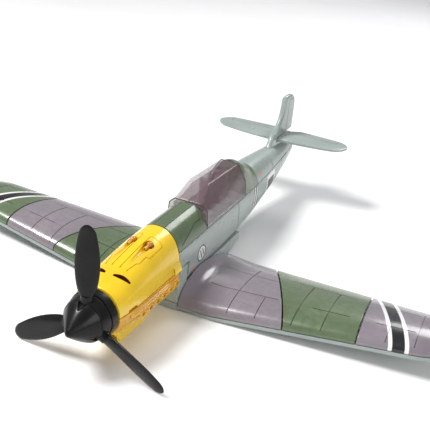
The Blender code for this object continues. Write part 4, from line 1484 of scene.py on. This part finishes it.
for side, word, inner, middle in ((1, "port", "violet", "green"), (-1, "starboard", "green", "violet")):
    for make in (front_wing_plate, rear_wing_plate):
        place_piece(make(side), word + "_" + make.__name__, "airframe", "plate")
    skins = ((inner_wing_skin, inner, inner), (middle_wing_skin, middle, middle),
             (tip_wing_skin, inner, inner + "_tip"))
    for make, colour, plastic_name in skins:
        name = word + "_" + make.__name__
        place_piece(make(side), name, name, plastic_name)
    place_piece(wheel(side), word + "_wheel", word + "_wheel", "black")

place_piece(canopy_frame(), "canopy_frame", "canopy", "frame", replaced=False)


# ---------------------------------------------------------------- stage, light and camera

def studio_surface():
    nodes = Nodes("studio_surface")
    cloud = nodes.ramp(nodes.noise(9, 3.0), 0.3, 0.7, 0, 1)
    paper = nodes.mix(cloud, (0.90, 0.90, 0.90), (0.94, 0.94, 0.94))
    nodes.link(paper, nodes.shader.inputs["Base Color"])
    nodes.shader.inputs["Roughness"].default_value = 0.85
    return nodes.material


def stage():
    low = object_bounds()[0]
    level = low[2] - FLOOR_DROP
    corners = [(-1, -1), (1, -1), (1, 1), (-1, 1)]
    mesh = bpy.data.meshes.new("studio_floor")
    mesh.from_pydata([(FLOOR_REACH * x, FLOOR_REACH * y, level) for x, y in corners], [], [(0, 1, 2, 3)])
    floor = bpy.data.objects.new("studio_floor", mesh)
    bpy.context.scene.collection.objects.link(floor)
    mesh.materials.append(studio_surface())
    floor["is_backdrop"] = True


def softbox(name, place, target, size, power):
    light = bpy.data.lights.new(name, "AREA")
    light.shape = "DISK"
    light.size = size
    light.energy = power
    lamp = bpy.data.objects.new(name, light)
    bpy.context.scene.collection.objects.link(lamp)
    lamp.location = place
    lamp.rotation_euler = (Vector(target) - Vector(place)).to_track_quat("-Z", "Y").to_euler()


def studio_light():
    world = bpy.data.worlds.new("studio")
    bpy.context.scene.world = world
    world.use_nodes = True
    backdrop = world.node_tree.nodes["Background"]
    backdrop.inputs["Color"].default_value = (0.97, 0.98, 1.0, 1)
    backdrop.inputs["Strength"].default_value = 0.38
    softbox("key", (-0.45, -0.30, 0.80), (0, 0, 0.02), 0.35, 9.6)
    softbox("fill", (0.75, -0.45, 0.40), (0, 0, 0.02), 0.50, 2.2)
    softbox("rim", (0.10, 0.75, 0.60), (0, 0, 0.02), 0.40, 2.5)
    bpy.context.scene.view_settings.view_transform = "Standard"


def camera():
    azimuth, elevation, roll = math.radians(23), math.radians(26), math.radians(6)
    distance, width_angle = 0.317, math.radians(34.6)
    target = Vector((-0.0022, 0.0146, 0.015))
    back = Vector((math.sin(azimuth) * math.cos(elevation), -math.cos(azimuth) * math.cos(elevation),
                   math.sin(elevation)))
    data = bpy.data.cameras.new("camera")
    data.sensor_width = 36.0
    data.lens = 18.0 / math.tan(width_angle / 2)
    data.clip_start = 0.01
    eye = bpy.data.objects.new("camera", data)
    bpy.context.scene.collection.objects.link(eye)
    turn = (-back).to_track_quat("-Z", "Y") @ Matrix.Rotation(roll, 3, "Z").to_quaternion()
    eye.location = target + back * distance
    eye.rotation_euler = turn.to_euler()
    bpy.context.scene.camera = eye


stage()
studio_light()
camera()
